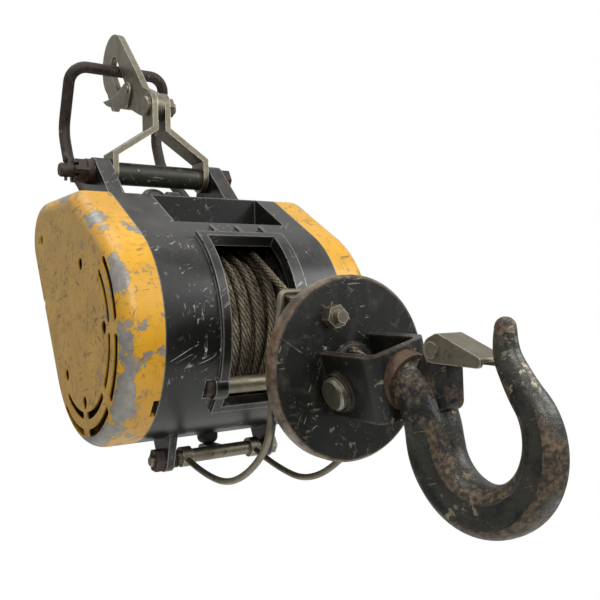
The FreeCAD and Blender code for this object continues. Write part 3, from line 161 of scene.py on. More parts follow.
# Satin black enamel: nearly black, dusty on top, with pale nicks and short scars and grey corners.
black_paint, tree = new_finish("satin_black_enamel_on_cast_aluminium")
tone = mixed(tree, patches(tree, 45.0, 0.35, 0.7, 1.0), "#0c0c0b", "#161614")
up = put(tree, "SeparateXYZ", {0: put(tree, "NewGeometry", out="Normal")}, out="Z")
dust = ramp(tree, up, 0.3, 1.0, to=(0.0, 0.45))
dust = calc(tree, "MULTIPLY", dust, patches(tree, 16.0, 0.4, 0.66, 2.0, 7.0))
tone = mixed(tree, dust, tone, "#54514a")
nicks = crossed(tree, specks(tree), 0.016, (
    (6.0, (12, 0, 0), 5.0), (8.0, (0, 60, 10), 8.0), (7.0, (-35, 0, 0), 14.0)))
nicks = calc(tree, "MULTIPLY", nicks, patches(tree, 30.0, 0.46, 0.60, 17.0, 6.0))
tone = mixed(tree, nicks, tone, "#a3a097")
bare = worn_corners(tree, 1.8, 0.75, 9.0)
tone = mixed(tree, bare, tone, "#8f8c83")
dull = calc(tree, "MULTIPLY_ADD", dust, 0.6, 0.28)
metal = calc(tree, "MULTIPLY", bare, 0.4)
grain = calc(tree, "MULTIPLY_ADD", patches(tree, 1.6, 0.2, 0.8, 11.0, 2.0), -0.3, 1.0)
grain = calc(tree, "SUBTRACT", calc(tree, "SUBTRACT", grain, nicks), bare)
surface(tree, tone, dull, metal, grain, 0.10, IOR=1.5)
dress(black_paint, "housing")


# Drum: turned steel barrel with two flanges, keyed to its shaft between two sealed ball bearings.
# Fine turning rings run round the axis; old oil leaves brown patches.
turned_steel, tree = new_finish("turned_steel_oiled")
place = put(tree, "TexCoord", out="Object")
rings = put(tree, "TexWave", {"Vector": place, "Scale": 220.0, "Distortion": 0.6, "Detail": 1.0}, out="Fac",
            wave_type="BANDS", bands_direction="X")
tone = mixed(tree, patches(tree, 16.0, 0.42, 0.62, 1.0, 5.0), "#9b9992", "#5a5246")
surface(tree, tone, ramp(tree, rings, to=(0.28, 0.46)), 1.0, rings, 0.03)
dress(turned_steel, "drum", "drum_shaft", "drum_bearings", "motor_bearings")


# Wire rope on the drum: 5.5 mm six-strand steel rope, a close bottom layer and a loose top layer
# that crosses it the other way, dark with old grease and brown dust, rising to the fall's first turn.
rope_r, rope_lay, strands = 0.00275, 0.034, 6
ring_step = 0.0018                             # between the rings of a rope's mesh
drum_y, drum_z = -0.100, -0.134                # the drum's axis


def modified(thing, kind, **settings):
    """Adds one modifier to the active object and applies it."""
    modifier = thing.modifiers.new(kind.lower(), kind)
    for name, value in settings.items():
        setattr(modifier, name, value)
    bpy.ops.object.modifier_apply(modifier=modifier.name)


def outward(weld=0.0, fill=False):
    """Welds the active mesh's doubled points, fills its holes and turns its faces outward."""
    bpy.ops.object.mode_set(mode="EDIT")
    bpy.ops.mesh.select_all(action="SELECT")
    if weld:
        bpy.ops.mesh.remove_doubles(threshold=weld)
    if fill:
        bpy.ops.mesh.fill_holes(sides=0)
        bpy.ops.mesh.select_all(action="SELECT")
    bpy.ops.mesh.normals_make_consistent(inside=False)
    bpy.ops.object.mode_set(mode="OBJECT")


def twisted_rope(name, length):
    """Straight rope along +X: a ring with a lobe for each strand carried along and turned, its lay as UV."""
    bpy.ops.mesh.primitive_circle_add(vertices=30, radius=rope_r, rotation=(0, math.pi / 2, 0))
    rope = bpy.context.object
    rope.name = name
    bpy.ops.object.transform_apply(location=False, rotation=True, scale=False)
    for vertex in rope.data.vertices:
        around = math.atan2(vertex.co.z, vertex.co.y)
        vertex.co *= 0.80 + 0.20 * abs(math.cos(strands / 2 * around)) ** 0.8
    steps = max(8, int(length / ring_step))
    modified(rope, "SCREW", axis="X", angle=2 * math.pi * length / rope_lay, screw_offset=length, steps=steps,
             render_steps=steps)
    outward(fill=True)
    bpy.ops.object.shade_smooth_by_angle(angle=math.radians(60))
    lay_map = rope.data.uv_layers.new(name="lay")
    for face in rope.data.polygons:
        first = None
        for loop in face.loop_indices:
            co = rope.data.vertices[rope.data.loops[loop].vertex_index].co
            turn = math.atan2(co.z, co.y) / (2 * math.pi) + co.x / rope_lay
            first = turn if first is None else first
            lay_map.data[loop].uv = (co.x, turn - round(turn - first))
    return rope


def smooth_line(points):
    """A NURBS line with these control points."""
    line = bpy.data.curves.new("route", "CURVE")
    line.dimensions = "3D"
    spline = line.splines.new("NURBS")
    spline.points.add(len(points) - 1)
    for spot, point in zip(spline.points, points):
        spot.co = (*point, 1.0)
    spline.order_u = 3
    spline.use_endpoint_u = True
    spline.resolution_u = 6
    route = bpy.data.objects.new("route", line)
    bpy.context.scene.collection.objects.link(route)
    return route


def bent_rope(name, points):
    """Rope as long as the line with these control points, laid along it."""
    route = smooth_line(points)
    rope = twisted_rope(name, route.data.splines[0].calc_length() * 0.998)
    modified(rope, "CURVE", object=route, deform_axis="POS_X")
    bpy.data.objects.remove(route)
    return rope


# Greasy steel rope: bright only on the strand crowns, near black in the valleys, fine wires along it.
# Real wires are 0.4 mm; they are drawn 0.75 mm wide so that they show.
rope_steel, tree = new_finish("greased_steel_wire_rope")
lay_uv = put(tree, "SeparateXYZ", {0: put(tree, "UVMap", uv_map="lay")}, out="Y")
crown = calc(tree, "COSINE", calc(tree, "MULTIPLY", lay_uv, strands * math.pi))
crown = calc(tree, "ABSOLUTE", crown)
along = put(tree, "SeparateXYZ", {0: put(tree, "UVMap", uv_map="lay")}, out="X")
wires = calc(tree, "MULTIPLY_ADD", along, 1 / rope_lay, lay_uv)
wires = calc(tree, "SINE", calc(tree, "MULTIPLY", wires, 2 * math.pi * 24))
grime = patches(tree, 9.0, 0.38, 0.66, 2.0, 5.0)
tone = mixed(tree, grime, "#9c927c", "#665b4a")
tone = mixed(tree, ramp(tree, crown, 0.15, 0.85), "#16130f", tone)
surface(tree, tone, ramp(tree, grime, to=(0.42, 0.7)), 0.75, wires, 0.10)

inner_r, outer_r, leave_r = 0.0553, 0.0602, 0.06605
left_x, right_x, back_x, leave_x = -0.0243, 0.0293, -0.0222, 0.0215
leave_deg = 60.4
per_turn, outset = 17, 1.008                   # control points in a turn; they lie outside the line
lower_turns, upper_turns = 9, 5
points = []
for i in range(per_turn * lower_turns + 1):    # bottom layer, left to right
    share = i / (per_turn * lower_turns)
    turn = math.radians(leave_deg + 360 * lower_turns * share)
    points.append((left_x + (right_x - left_x) * share, inner_r, turn))
last = points[-1][2]
for i in range(1, per_turn * upper_turns + 1):  # loose top layer, right to left, wandering a little
    share = i / (per_turn * upper_turns)
    wander = 0.0022 * math.sin(9 * share)
    turn = last + math.radians(360 * upper_turns * share)
    points.append((right_x + (back_x - right_x) * share + wander, outer_r, turn))
last = points[-1][2]
for i in range(1, per_turn + 1):               # last turn climbs over the others to where the fall leaves
    share = i / per_turn
    ease = share * share * (3 - 2 * share)
    radius = outer_r + (leave_r - outer_r) * ease
    points.append((back_x + (leave_x - back_x) * ease, radius, last + math.radians(360 * share)))
route = [(x, drum_y - r * outset * math.cos(a), drum_z + r * outset * math.sin(a)) for x, r, a in points]
rope_turns = bent_rope("rope_turns", route)
rope_turns.data.materials.append(rope_steel)
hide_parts("rope_pack")
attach(rope_turns, "drum")


# Gear train behind the right bulkhead: hobbed steel wheels and pinions on a steel layshaft.
# Tooth flanks shine, webs stay dull, and amber grease lies between the teeth.
gear_steel, tree = new_finish("hobbed_gear_steel_greased")
grease = patches(tree, 11.0, 0.45, 0.6, 3.0, 4.0)
tone = mixed(tree, grease, "#84827c", "#5e4626")
tone = mixed(tree, worn_corners(tree, 0.8, 0.5, 2.0), tone, "#c0beb6")
rough = ramp(tree, grease, to=(0.38, 0.22))
surface(tree, tone, rough, 0.95, patches(tree, 0.9, 0.3, 0.7, 5.0), 0.04)
dress(gear_steel, "drum_wheel", "lay_wheel", "lay_pinion", "lay_shaft", "motor_pinion", "armature_shaft")


# Motor: stacked sheet-steel stator and armature, cast end shields, copper commutator, carbon brushes.
# Varnish browns the stacks, the shields are as cast, and the fan is moulded black nylon.
lamination, tree = new_finish("varnished_sheet_steel_stack")
place = put(tree, "TexCoord", out="Object")
sheets = put(tree, "TexWave", {"Vector": place, "Scale": 160.0, "Distortion": 0.2}, out="Fac",
             bands_direction="X")
varnish = patches(tree, 12.0, 0.35, 0.65, 2.0)
tone = mixed(tree, varnish, "#4b4038", "#6b3f22")
surface(tree, tone, ramp(tree, varnish, to=(0.35, 0.55)), 0.5, sheets, 0.15)
dress(lamination, "motor_stator", "armature_core")

cast_alloy, tree = new_finish("as_cast_aluminium")
skin = patches(tree, 2.5, 0.3, 0.7, 1.0, 4.0)
tone = mixed(tree, patches(tree, 20.0, 0.35, 0.7, 6.0), "#a3a29d", "#7d7b75")
surface(tree, tone, ramp(tree, skin, to=(0.45, 0.62)), 0.9, skin, 0.15)
dress(cast_alloy, "motor_end_shields")

copper, tree = new_finish("commutator_copper_and_brass")
tarnish = patches(tree, 5.0, 0.4, 0.65, 1.0, 5.0)
tone = mixed(tree, tarnish, "#b87a4a", "#6d4a2c")
rough = ramp(tree, tarnish, to=(0.25, 0.5))
surface(tree, tone, rough, 1.0, patches(tree, 0.7, 0.3, 0.7, 4.0), 0.03)
dress(copper, "commutator", "brush_holders")

# Moulded black phenolic and nylon: an even, slightly grey black with a soft sheen and a fine grain.
moulded, tree = new_finish("moulded_black_phenolic")
grain = patches(tree, 0.8, 0.3, 0.7, 2.0, 2.0)
rub = crossed(tree, worn_corners(tree, 1.0, 0.3, 4.0), 0.02, [(5.0, (30, 40, 0), 6.0)])
tone = mixed(tree, patches(tree, 9.0, 0.35, 0.7, 1.0), "#171716", "#262522")
tone = mixed(tree, rub, tone, "#5f5c55")
surface(tree, tone, ramp(tree, grain, to=(0.38, 0.52)), 0.0, grain, 0.05, IOR=1.55)
dress(moulded, "cooling_fan", "brushes", "brush_caps")


# Cable gland and switch boot: black nitrile rubber, moulded, pushed over their seats.
# Rubber is dull, bloomed grey in patches and never chips.
rubber, tree = new_finish("black_nitrile_rubber")
bloom = patches(tree, 7.0, 0.4, 0.75, 1.0, 5.0)
tone = mixed(tree, bloom, "#1a1918", "#3b3935")
rough = ramp(tree, bloom, to=(0.6, 0.82))
surface(tree, tone, rough, 0.0, patches(tree, 1.2, 0.3, 0.7, 3.0), 0.08, IOR=1.52)
dress(rubber, "cable_gland", "switch_boot")


# End covers: two deep die-cast caps in orange-yellow enamel, each held by five screws.
# The round corner is knocked through in long chips, more on the left; dark hairlines cross the flat ends.
orange_paint, tree = new_finish("orange_enamel_on_cast_aluminium")
bright = mixed(tree, patches(tree, 50.0, 0.35, 0.7, 1.0), "#d09a17", "#b88518")
# The flat ends take a duller, darker orange than the round band: partly weathered paint, partly painted shade
# for the softer light that falls on them.
weathered_and_shaded_end_tone = mixed(tree, patches(tree, 26.0, 0.35, 0.7, 2.0, 8.0), "#bd9546", "#a5823e")
side = put(tree, "SeparateXYZ", {0: put(tree, "NewGeometry", out="Normal")}, out="X")
side = calc(tree, "ABSOLUTE", side)
flat = ramp(tree, side, 0.90, 0.995)
tone = mixed(tree, flat, bright, weathered_and_shaded_end_tone)
grime = calc(tree, "MULTIPLY", patches(tree, 5.0, 0.54, 0.82, 3.0, 9.0), 0.5)
tone = mixed(tree, grime, tone, "#6d5627")
lines = crossed(tree, patches(tree, 2.4, 0.67, 0.70, 21.0, 5.0), 0.034, (
    (4.6, (35, 0, 0), 3.0), (5.0, (-40, 0, 0), 6.0), (5.5, (80, 0, 0), 9.0), (5.0, (5, 0, 0), 12.0),
    (6.0, (-70, 0, 0), 15.0), (8.0, (0, 78, 0), 18.0)))
tone = mixed(tree, calc(tree, "MULTIPLY", lines, 0.66), tone, "#4a3b1c")
corner = calc(tree, "MULTIPLY", ramp(tree, side, -0.3, 0.5), ramp(tree, side, 0.9995, 0.90))
chips = calc(tree, "MULTIPLY_ADD", corner, 0.14, cloud(tree, 28, 8.4, 12.0, 0.73))
right = put(tree, "SeparateXYZ", {0: put(tree, "TexCoord", out="Object")}, out="X")
chips = calc(tree, "SUBTRACT", chips, ramp(tree, right, -0.01, 0.01, to=(0.0, 0.04)))
chips = ramp(tree, chips, 0.612, 0.624)
bare = mixed(tree, patches(tree, 6.0, 0.35, 0.65, 24.0, 6.0), "#94918a", "#787670")
tone = mixed(tree, chips, tone, bare)

# Inside the vents, which lie in the ends round the drum's axis, the walls are painted near black: painted
# shade for the shadow down the narrow slots.
place = put(tree, "TexCoord", out="Object")
depth = calc(tree, "ABSOLUTE", put(tree, "SeparateXYZ", {0: place}, out="X"))
across = put(tree, "VectorMath", {0: place, 1: (0.0, 1.0, 1.0)}, operation="MULTIPLY")
reach = put(tree, "VectorMath", {0: across, 1: (0.0, drum_y, drum_z)}, out="Value", operation="DISTANCE")
sunk = calc(tree, "MULTIPLY", ramp(tree, depth, 0.1030, 0.1020), ramp(tree, reach, 0.076, 0.073))
# Painted shade: the vents' walls take a near-black colour for the shadow inside them.
tone = mixed(tree, sunk, tone, "#120f0b")
rough = ramp(tree, flat, to=(0.36, 0.55))
relief = calc(tree, "MULTIPLY_ADD", calc(tree, "MAXIMUM", chips, lines), -1.0, 1.0)
surface(tree, tone, rough, calc(tree, "MULTIPLY", chips, 0.4), relief, 0.15, IOR=1.5)
dress(orange_paint, "left_cover", "right_cover")


# Cover screws: black-oxide steel cap screws, sunk in their counterbores.
# The oxide is worn to grey round the head's edge and rusted in the socket.
black_oxide, tree = new_finish("black_oxide_steel")
rust = patches(tree, 3.0, 0.52, 0.62, 1.0, 5.0)
tone = mixed(tree, rust, "#23211f", "#4a3324")
tone = mixed(tree, worn_corners(tree, 0.8, 0.5, 3.0), tone, "#8f8b82")
rough = ramp(tree, rust, to=(0.42, 0.75))
surface(tree, tone, rough, 0.7, patches(tree, 0.8, 0.3, 0.7, 5.0), 0.06)
dress(black_oxide, "left_cover_screws", "right_cover_screws")


# Rope roller: bright zinc-plated tube turning on a plain pin across the window's foot.
# Zinc has gone grey-yellow, stained, pitted and scratched; its corners are painted near white, partly zinc
# rubbed bright and partly a painted sheen.
zinc, tree = new_finish("zinc_plated_steel_weathered")
cells = put(tree, "TexVoronoi", {"Vector": put(tree, "TexCoord", out="Object"), "Scale": 260.0}, out="Color")
tone = mixed(tree, put(tree, "SeparateXYZ", {0: cells}, out="X"), "#847f6e", "#75705f")
stain = patches(tree, 22.0, 0.45, 0.75, 2.0, 8.0)
tone = mixed(tree, calc(tree, "MULTIPLY", stain, 0.7), tone, "#665f4e")
pits = crossed(tree, patches(tree, 3.0, 0.68, 0.71, 5.0, 6.0), 0.03, [(6.0, (10, 25, 0), 7.0)])
tone = mixed(tree, pits, tone, "#4b4234")
# Painted sheen: the corners go near white, partly for rubbed zinc and partly for the shine that light puts on
# them.
tone = mixed(tree, worn_corners(tree, 1.0, 0.7, 9.0), tone, "#d6d2c4")
rough = ramp(tree, stain, to=(0.40, 0.60))
surface(tree, tone, rough, 0.9, calc(tree, "MULTIPLY_ADD", pits, -1.0, 1.0), 0.10)
dress(zinc, "rope_roller", "left_hanger_strap", "right_hanger_strap", "plate_hook", "hook_gate",
      "lever_bolt", "hanger_pin", "hanger_nut", "disc_nut", "disc_bolt", "plate_latch_pin", "gate_pin")


# Roller pin, lever nut, suspension bolt with its nut and washers, handle: bare mild steel, rusted brown.
# Rust is dull and granular, rubbed paler on the corners; the hook's seat and nut are more orange.
def rusted(name, dark, light):
    """A rusty finish between two browns."""
    finish, tree = new_finish(name)
    bloom = patches(tree, 6.0, 0.35, 0.68, 1.0, 8.0)
    tone = mixed(tree, bloom, dark, light)
    tone = mixed(tree, patches(tree, 3.0, 0.62, 0.68, 4.0, 6.0), tone, "#1a1715")
    rub = crossed(tree, worn_corners(tree, 1.0, 0.4, 6.0), 0.03, [(5.0, (20, 10, 0), 9.0)])
    tone = mixed(tree, rub, tone, "#7b7468")
    rough = ramp(tree, bloom, to=(0.45, 0.7))
    surface(tree, tone, rough, calc(tree, "MULTIPLY_ADD", rub, 0.5, 0.35), bloom, 0.2)
    return finish


dress(rusted("rusted_mild_steel", "#24201c", "#3f3128"), "roller_bolt", "lever_nut", "suspension_bolt",
      "castle_nut", "cotter_pin", "bolt_washers", "carry_handle")
dress(rusted("orange_rust_on_steel", "#33271c", "#5a412a"), "swivel_seat", "shank_nut")


# Limit lever: a zinc-plated tube on the lever bolt, with two collars, a cam under the switch boot and a
# wire frame that bows down and forward from each collar, then up round the rope. All is welded and bored.
def over_drum(x, y, z):
    """From mm off the drum's axis to metres."""
    return Vector((x / 1000, drum_y + y / 1000, drum_z + z / 1000))


def take(thing):
    """Makes one object the only selected one, and the active one."""
    bpy.ops.object.select_all(action="DESELECT")
    thing.select_set(True)
    bpy.context.view_layer.objects.active = thing


def round_bar(name, points, radius):
    """Round bar in mm along a smooth line with these control points."""
    route = smooth_line([over_drum(*point) for point in points])
    route.name = name
    route.data.splines[0].resolution_u = 16
    route.data.bevel_depth = radius / 1000
    route.data.bevel_resolution = 6
    route.data.use_fill_caps = True
    take(route)
    bpy.ops.object.convert(target="MESH")
    outward(weld=0.00001)
    return bpy.context.object


def rod_along(name, radius, low_x, high_x, y, z):
    """Plain rod in mm along X."""
    middle = over_drum((low_x + high_x) / 2, y, z)
    bpy.ops.mesh.primitive_cylinder_add(vertices=48, radius=radius / 1000, depth=(high_x - low_x) / 1000,
                                        location=middle, rotation=(0.0, math.pi / 2, 0.0))
    rod = bpy.context.object
    rod.name = name
    bpy.ops.object.transform_apply(location=True, rotation=True, scale=True)
    return rod


def joined(body, tool, operation):
    """Boolean of two closed meshes; the tool is used up."""
    take(body)
    modified(body, "BOOLEAN", object=tool, operation=operation)
    bpy.data.objects.remove(tool)


def wrapped(circles):
    """Outline of the belt round some circles (y, z, radius)."""
    rim = [Vector((y + r * math.cos(a * math.pi / 16), z + r * math.sin(a * math.pi / 16)))
           for y, z, r in circles for a in range(32)]
    return [tuple(rim[i]) for i in geometry.convex_hull_2d(rim)]


def cut_sheet(name, outline, low_x, high_x, place):
    """Flat sheet cut to an outline in a plane across X, with thickness and broken edges."""
    bpy.ops.mesh.primitive_circle_add(vertices=len(outline), radius=0.01, fill_type="NGON")
    sheet = bpy.context.object
    sheet.name = name
    bpy.ops.object.mode_set(mode="EDIT")
    bpy.ops.mesh.select_all(action="SELECT")
    bpy.ops.mesh.extrude_region_move(TRANSFORM_OT_translate={"value": (0.0, 0.0, 0.001)})
    bpy.ops.object.mode_set(mode="OBJECT")
    for i, vertex in enumerate(sheet.data.vertices):
        vertex.co = place(high_x if vertex.co.z > 0.0005 else low_x, *outline[i % len(outline)])
    outward()
    modified(sheet, "BEVEL", width=0.0004, segments=2, limit_method="ANGLE", angle_limit=math.radians(50))
    bpy.ops.object.shade_smooth_by_angle(angle=math.radians(40))
    return sheet


lever_y, lever_z = -22.0, -95.0                # the lever bolt's axis, in mm off the drum's
tube_r, collar_r, bore_r, bar_r = 5.2, 7.5, 4.05, 2.25
tube_left, tube_right, cam_left, cam_right = -45.7, 31.7, -14.0, -2.0
left_collar, right_collar, half_collar = -34.0, 24.0, 4.0
front_y, top_z = -150.0, 27.0                  # the wire's upright front, and the bar across its top
wire = [(left_collar, lever_y, lever_z), (-36.5, -58.0, -101.0), (-38.0, -107.0, -99.0),
        (-37.5, front_y, -70.0), (-36.0, -154.0, -40.0), (-30.0, front_y, -5.0), (-26.8, front_y, 19.0),
        (-26.0, front_y, top_z), (-18.0, front_y, top_z), (8.0, front_y, top_z), (34.0, front_y, top_z),
        (42.0, front_y, top_z), (42.0, front_y, 19.0), (42.0, front_y, -20.0), (41.0, front_y, -52.0),
        (33.0, -141.0, -80.0), (20.0, -111.0, -105.0), (21.0, -62.0, -103.0),
        (right_collar, lever_y, lever_z)]
lever = rod_along("limit_lever_frame", tube_r, tube_left, tube_right, lever_y, lever_z)
for x in (left_collar, right_collar):
    joined(lever, rod_along("collar", collar_r, x - half_collar, x + half_collar, lever_y, lever_z), "UNION")
cam_rim = wrapped([(lever_y, lever_z, tube_r), (-8.0, -95.3, 5.0)])
joined(lever, cut_sheet("cam", cam_rim, cam_left, cam_right, over_drum), "UNION")
joined(lever, round_bar("wire", wire, bar_r), "UNION")
joined(lever, rod_along("bore", bore_r, tube_left - 4.3, tube_right + 4.3, lever_y, lever_z), "DIFFERENCE")
bpy.ops.object.shade_smooth_by_angle(angle=math.radians(40))
lever.data.materials.append(zinc)
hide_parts("limit_lever")
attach(lever, "lever")


# Lever return spring: two close turns of 1.8 mm spring wire round the lever's tube.
# One wire circle is carried round the tube's axis by a screw.
wire_r, coil_r, spring_x = 0.0009, 0.00625, -0.0447
coils, pitch = 2, 0.0020
bpy.ops.mesh.primitive_circle_add(vertices=14, radius=wire_r, location=(spring_x, coil_r, 0.0))
spring = bpy.context.object
spring.name = "lever_coil_spring"
bpy.ops.object.transform_apply(location=True, rotation=True, scale=True)
modified(spring, "SCREW", axis="X", iterations=coils, screw_offset=pitch, steps=40, render_steps=40)
outward(weld=0.00001, fill=True)
spring.data.transform(Matrix.Translation(over_drum(0.0, lever_y, lever_z)))
bpy.ops.object.shade_smooth_by_angle(angle=math.radians(50))
spring.data.materials.append(black_oxide)
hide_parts("lever_spring")
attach(spring, "housing")


# Spacer sleeve: thick steel tube over the suspension bolt, painted black-olive.
# It is scratched along its length and chipped to dull grey.
olive, tree = new_finish("olive_black_enamel_on_tube")
tone = mixed(tree, patches(tree, 18.0, 0.35, 0.7, 1.0), "#23231c", "#3a392f")
rub = scratches(tree, 6.0, (0, 90, 20), 0.03, 2.0)
rub = calc(tree, "MAXIMUM", rub, patches(tree, 5.0, 0.64, 0.68, 5.0, 6.0))
tone = mixed(tree, rub, tone, "#7d7768")
rough = ramp(tree, rub, to=(0.38, 0.5))
surface(tree, tone, rough, 0.15, calc(tree, "MULTIPLY_ADD", rub, -1.0, 1.0), 0.1, IOR=1.5)
dress(olive, "spacer_sleeve")


# Plate hook's latch: two leaf-shaped cheeks of 2.2 mm zinc-plated sheet, one each side of the plate, joined
# by a round bar across the mouth. It turns on a rivet in the plate's spine; its long spur is the finger tab.
pin_z, plate_lean = 63.0, math.radians(43.0)   # the hanger pin's height in mm, and the lean back on it


def leaning(x, v, u):
    """From the plate hook's own upright frame in mm, with the pin at its origin, to metres."""
    y = v * math.cos(plate_lean) + u * math.sin(plate_lean)
    z = u * math.cos(plate_lean) - v * math.sin(plate_lean)
    return Vector((x, y, z + pin_z)) / 1000


leaf = [(72.0, 111.0), (63.5, 101.5), (55.0, 92.6), (45.5, 84.6), (35.8, 78.0), (24.0, 71.5), (17.8, 66.0),
        (15.6, 60.0), (17.6, 54.5), (24.0, 50.8), (33.5, 49.6), (39.5, 52.5), (47.0, 63.0), (55.9, 77.0),
        (63.0, 88.5), (68.6, 99.6)]
bar_v, bar_u, cross_r = 47.0, 77.0, 2.7
bar = [(bar_v + cross_r * math.cos(i * math.pi / 8), bar_u + cross_r * math.sin(i * math.pi / 8))
       for i in range(16)]
near_x, far_x, bar_x = 3.5, 5.7, 4.2           # a cheek's two faces and the bar's end, off the plate's middle
latch = cut_sheet("plate_latch_leaf", leaf, -far_x, -near_x, leaning)
others = [cut_sheet("far_cheek", leaf, near_x, far_x, leaning), cut_sheet("bar", bar, -bar_x, bar_x, leaning)]
take(latch)
for sheet in others:
    sheet.select_set(True)
bpy.ops.object.join()
latch.data.materials.append(zinc)
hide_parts("plate_latch")
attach(latch, "top_gate")


# Hook block: black-painted steel disc and folded yoke on a headed axle, with the rope's eye between.
# The disc's rim is scraped to brown steel, and its face is crossed by pale rubs.
block_x, block_y, block_z = 0.015, -0.268, -0.155   # middle of the disc's face
black_steel, tree = new_finish("black_enamel_on_steel_plate")
tone = mixed(tree, patches(tree, 22.0, 0.35, 0.7, 1.0), "#0d0e0c", "#1a1b18")
film = patches(tree, 10.0, 0.52, 0.8, 3.0, 8.0)
tone = mixed(tree, calc(tree, "MULTIPLY", film, 0.45), tone, "#443d33")
nicks = crossed(tree, specks(tree), 0.015, (
    (5.0, (0, 20, 0), 7.0), (6.0, (0, -55, 0), 10.0), (7.0, (0, 85, 0), 13.0)))
nicks = calc(tree, "MULTIPLY", nicks, patches(tree, 40.0, 0.40, 0.56, 16.0, 4.0))
knocks = patches(tree, 6.0, 0.585, 0.605, 21.0, 12.0)
knocks = calc(tree, "MULTIPLY", knocks, patches(tree, 34.0, 0.55, 0.60, 22.0, 4.0))
nicks = calc(tree, "MAXIMUM", nicks, knocks)
tone = mixed(tree, nicks, tone, "#78725f")
bare = worn_corners(tree, 2.6, 0.75, 9.0)
bare_tone = mixed(tree, patches(tree, 7.0, 0.4, 0.6, 12.0, 6.0), "#7d7161", "#524032")
place = put(tree, "TexCoord", out="Object")
across = put(tree, "VectorMath", {0: place, 1: (1.0, 0.0, 1.0)}, operation="MULTIPLY")
reach = put(tree, "VectorMath", {0: across, 1: (block_x, 0.0, block_z)}, out="Value", operation="DISTANCE")
rim_rub = ramp(tree, reach, 0.0558, 0.0576)
rim_rub = calc(tree, "MULTIPLY", rim_rub, patches(tree, 9.0, 0.30, 0.50, 15.0, 7.0))
bare = calc(tree, "MAXIMUM", bare, rim_rub)
tone = mixed(tree, bare, tone, bare_tone)
dull = calc(tree, "MULTIPLY_ADD", film, 0.25, 0.33)
relief = calc(tree, "MULTIPLY_ADD", calc(tree, "MAXIMUM", nicks, bare), -1.0, 1.0)
surface(tree, tone, dull, calc(tree, "MULTIPLY", bare, 0.5), relief, 0.15, IOR=1.5)
dress(black_steel, "block_disc", "block_yoke")
dress(zinc, "block_axle")


# Rope's end in the block: an eye bent round a grooved thimble on the axle, closed by a pressed alloy
# ferrule, and its dead end. The straight fall runs from the housing to the block.
roll_cos, roll_sin = 0.96593, 0.25882          # the block hangs rolled 15 degrees about Y


def in_block(x, y, z):
    """From the block's own frame in mm, disc face at the origin and rolled, to metres."""
    return (block_x + (roll_cos * x - roll_sin * z) / 1000, block_y + y / 1000,
            block_z + (roll_sin * x + roll_cos * z) / 1000)


axle = (0.013447, -0.281, -0.160796)
eye_r, eye_points, eye_from = 0.0115, 24, 20   # the rope's middle line, and the degrees from its top
eye_outset = eye_r * 1.006                     # control points lie a little outside the line
eye_route = []
for i in range(eye_points + 1):
    a = math.radians(eye_from + 360 * i / eye_points)
    forward, rise = math.sin(a) * eye_outset, math.cos(a) * eye_outset
    eye_route.append((axle[0] - roll_sin * rise, axle[1] - forward, axle[2] + roll_cos * rise))
rope_eye = bent_rope("rope_eye_strands", eye_route)
rope_eye.data.materials.append(rope_steel)
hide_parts("rope_eye")
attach(rope_eye, "block")

tail_route = [in_block(*spot) for spot in (    # dead end out of the ferrule, laid forward over the eye
    (2.6, 1.5, 1.9), (4.0, -0.5, 5.0), (1.5, -3.0, 10.0), (-3.0, -6.5, 13.6), (-6.0, -12.5, 14.4),
    (-6.5, -20.0, 11.5), (-5.0, -26.0, 6.5), (-4.0, -29.5, 2.0))]
rope_tail = bent_rope("rope_tail_strands", tail_route)
rope_tail.data.materials.append(rope_steel)
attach(rope_tail, "block")

leave = (leave_x, -0.132606, -0.076559)
fall_end = (0.01517, -0.249249, -0.142772)
rope_fall = twisted_rope("rope_fall_strands", math.dist(leave, fall_end))
run = [b - a for a, b in zip(leave, fall_end)]
rope_fall.rotation_euler = (0.0, -math.atan2(run[2], math.hypot(run[0], run[1])), math.atan2(run[1], run[0]))
rope_fall.location = leave
bpy.ops.object.transform_apply(location=True, rotation=True, scale=True)
rope_fall.data.materials.append(rope_steel)
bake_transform(rope_fall)
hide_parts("rope_fall")
dress(cast_alloy, "rope_ferrule")
dress(zinc, "rope_thimble")


# Disc bush: a moulded rubber buffer pressed into the disc's hole, with an off-centre way for the ferrule.
# Turned from a cylinder, bored through, its lips rounded.
bush_r, bush_deep, way_r = 0.0158, 0.0072, 0.0062
bpy.ops.mesh.primitive_cylinder_add(vertices=64, radius=bush_r, depth=bush_deep, location=(0.0, 0.0018, 0.0),
                                    rotation=(math.pi / 2, 0.0, 0.0))
bush = bpy.context.object
bush.name = "disc_rope_bush"
fall_way = Vector((0.173, 0.869, 0.464))
bpy.ops.mesh.primitive_cylinder_add(vertices=48, radius=way_r, depth=0.04, location=(0.0030, 0.0020, 0.0020),
                                    rotation=fall_way.to_track_quat("Z", "Y").to_euler())
joined(bush, bpy.context.object, "DIFFERENCE")
modified(bush, "BEVEL", width=0.0012, segments=3, limit_method="ANGLE")
on_disc = Matrix.Translation((block_x, block_y, block_z)) @ Matrix.Rotation(math.radians(-15), 4, "Y")
bush.matrix_world = on_disc @ bush.matrix_world
bpy.ops.object.transform_apply(location=True, rotation=True, scale=True)
bpy.ops.object.shade_smooth_by_angle(angle=math.radians(40))
bush.data.materials.append(rubber)
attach(bush, "block")


# Load hook: drop-forged steel, a round shank and neck, then a bow whose two flanks are pressed in between
# thick rims, and a turned-out nose. Black paint is left in the panels; the rims are rubbed to brown steel.
def through(stations, share):
    """Point on a smooth line through evenly spaced stations."""
    at = share * (len(stations) - 1)
    i = min(int(at), len(stations) - 2)
    t = at - i
    near = [stations[min(max(j, 0), len(stations) - 1)] for j in (i - 1, i, i + 1, i + 2)]
    return [0.5 * (2 * q + (r - p) * t + (2 * p - 5 * q + 4 * r - s) * t ** 2
                   + (3 * q - p - 3 * r + s) * t ** 3) for p, q, r, s in zip(*near)]


def step(value, low, high):
    """0 below low, 1 above high, eased between."""
    t = min(max((value - low) / (high - low), 0.0), 1.0)
    return t * t * (3 - 2 * t)


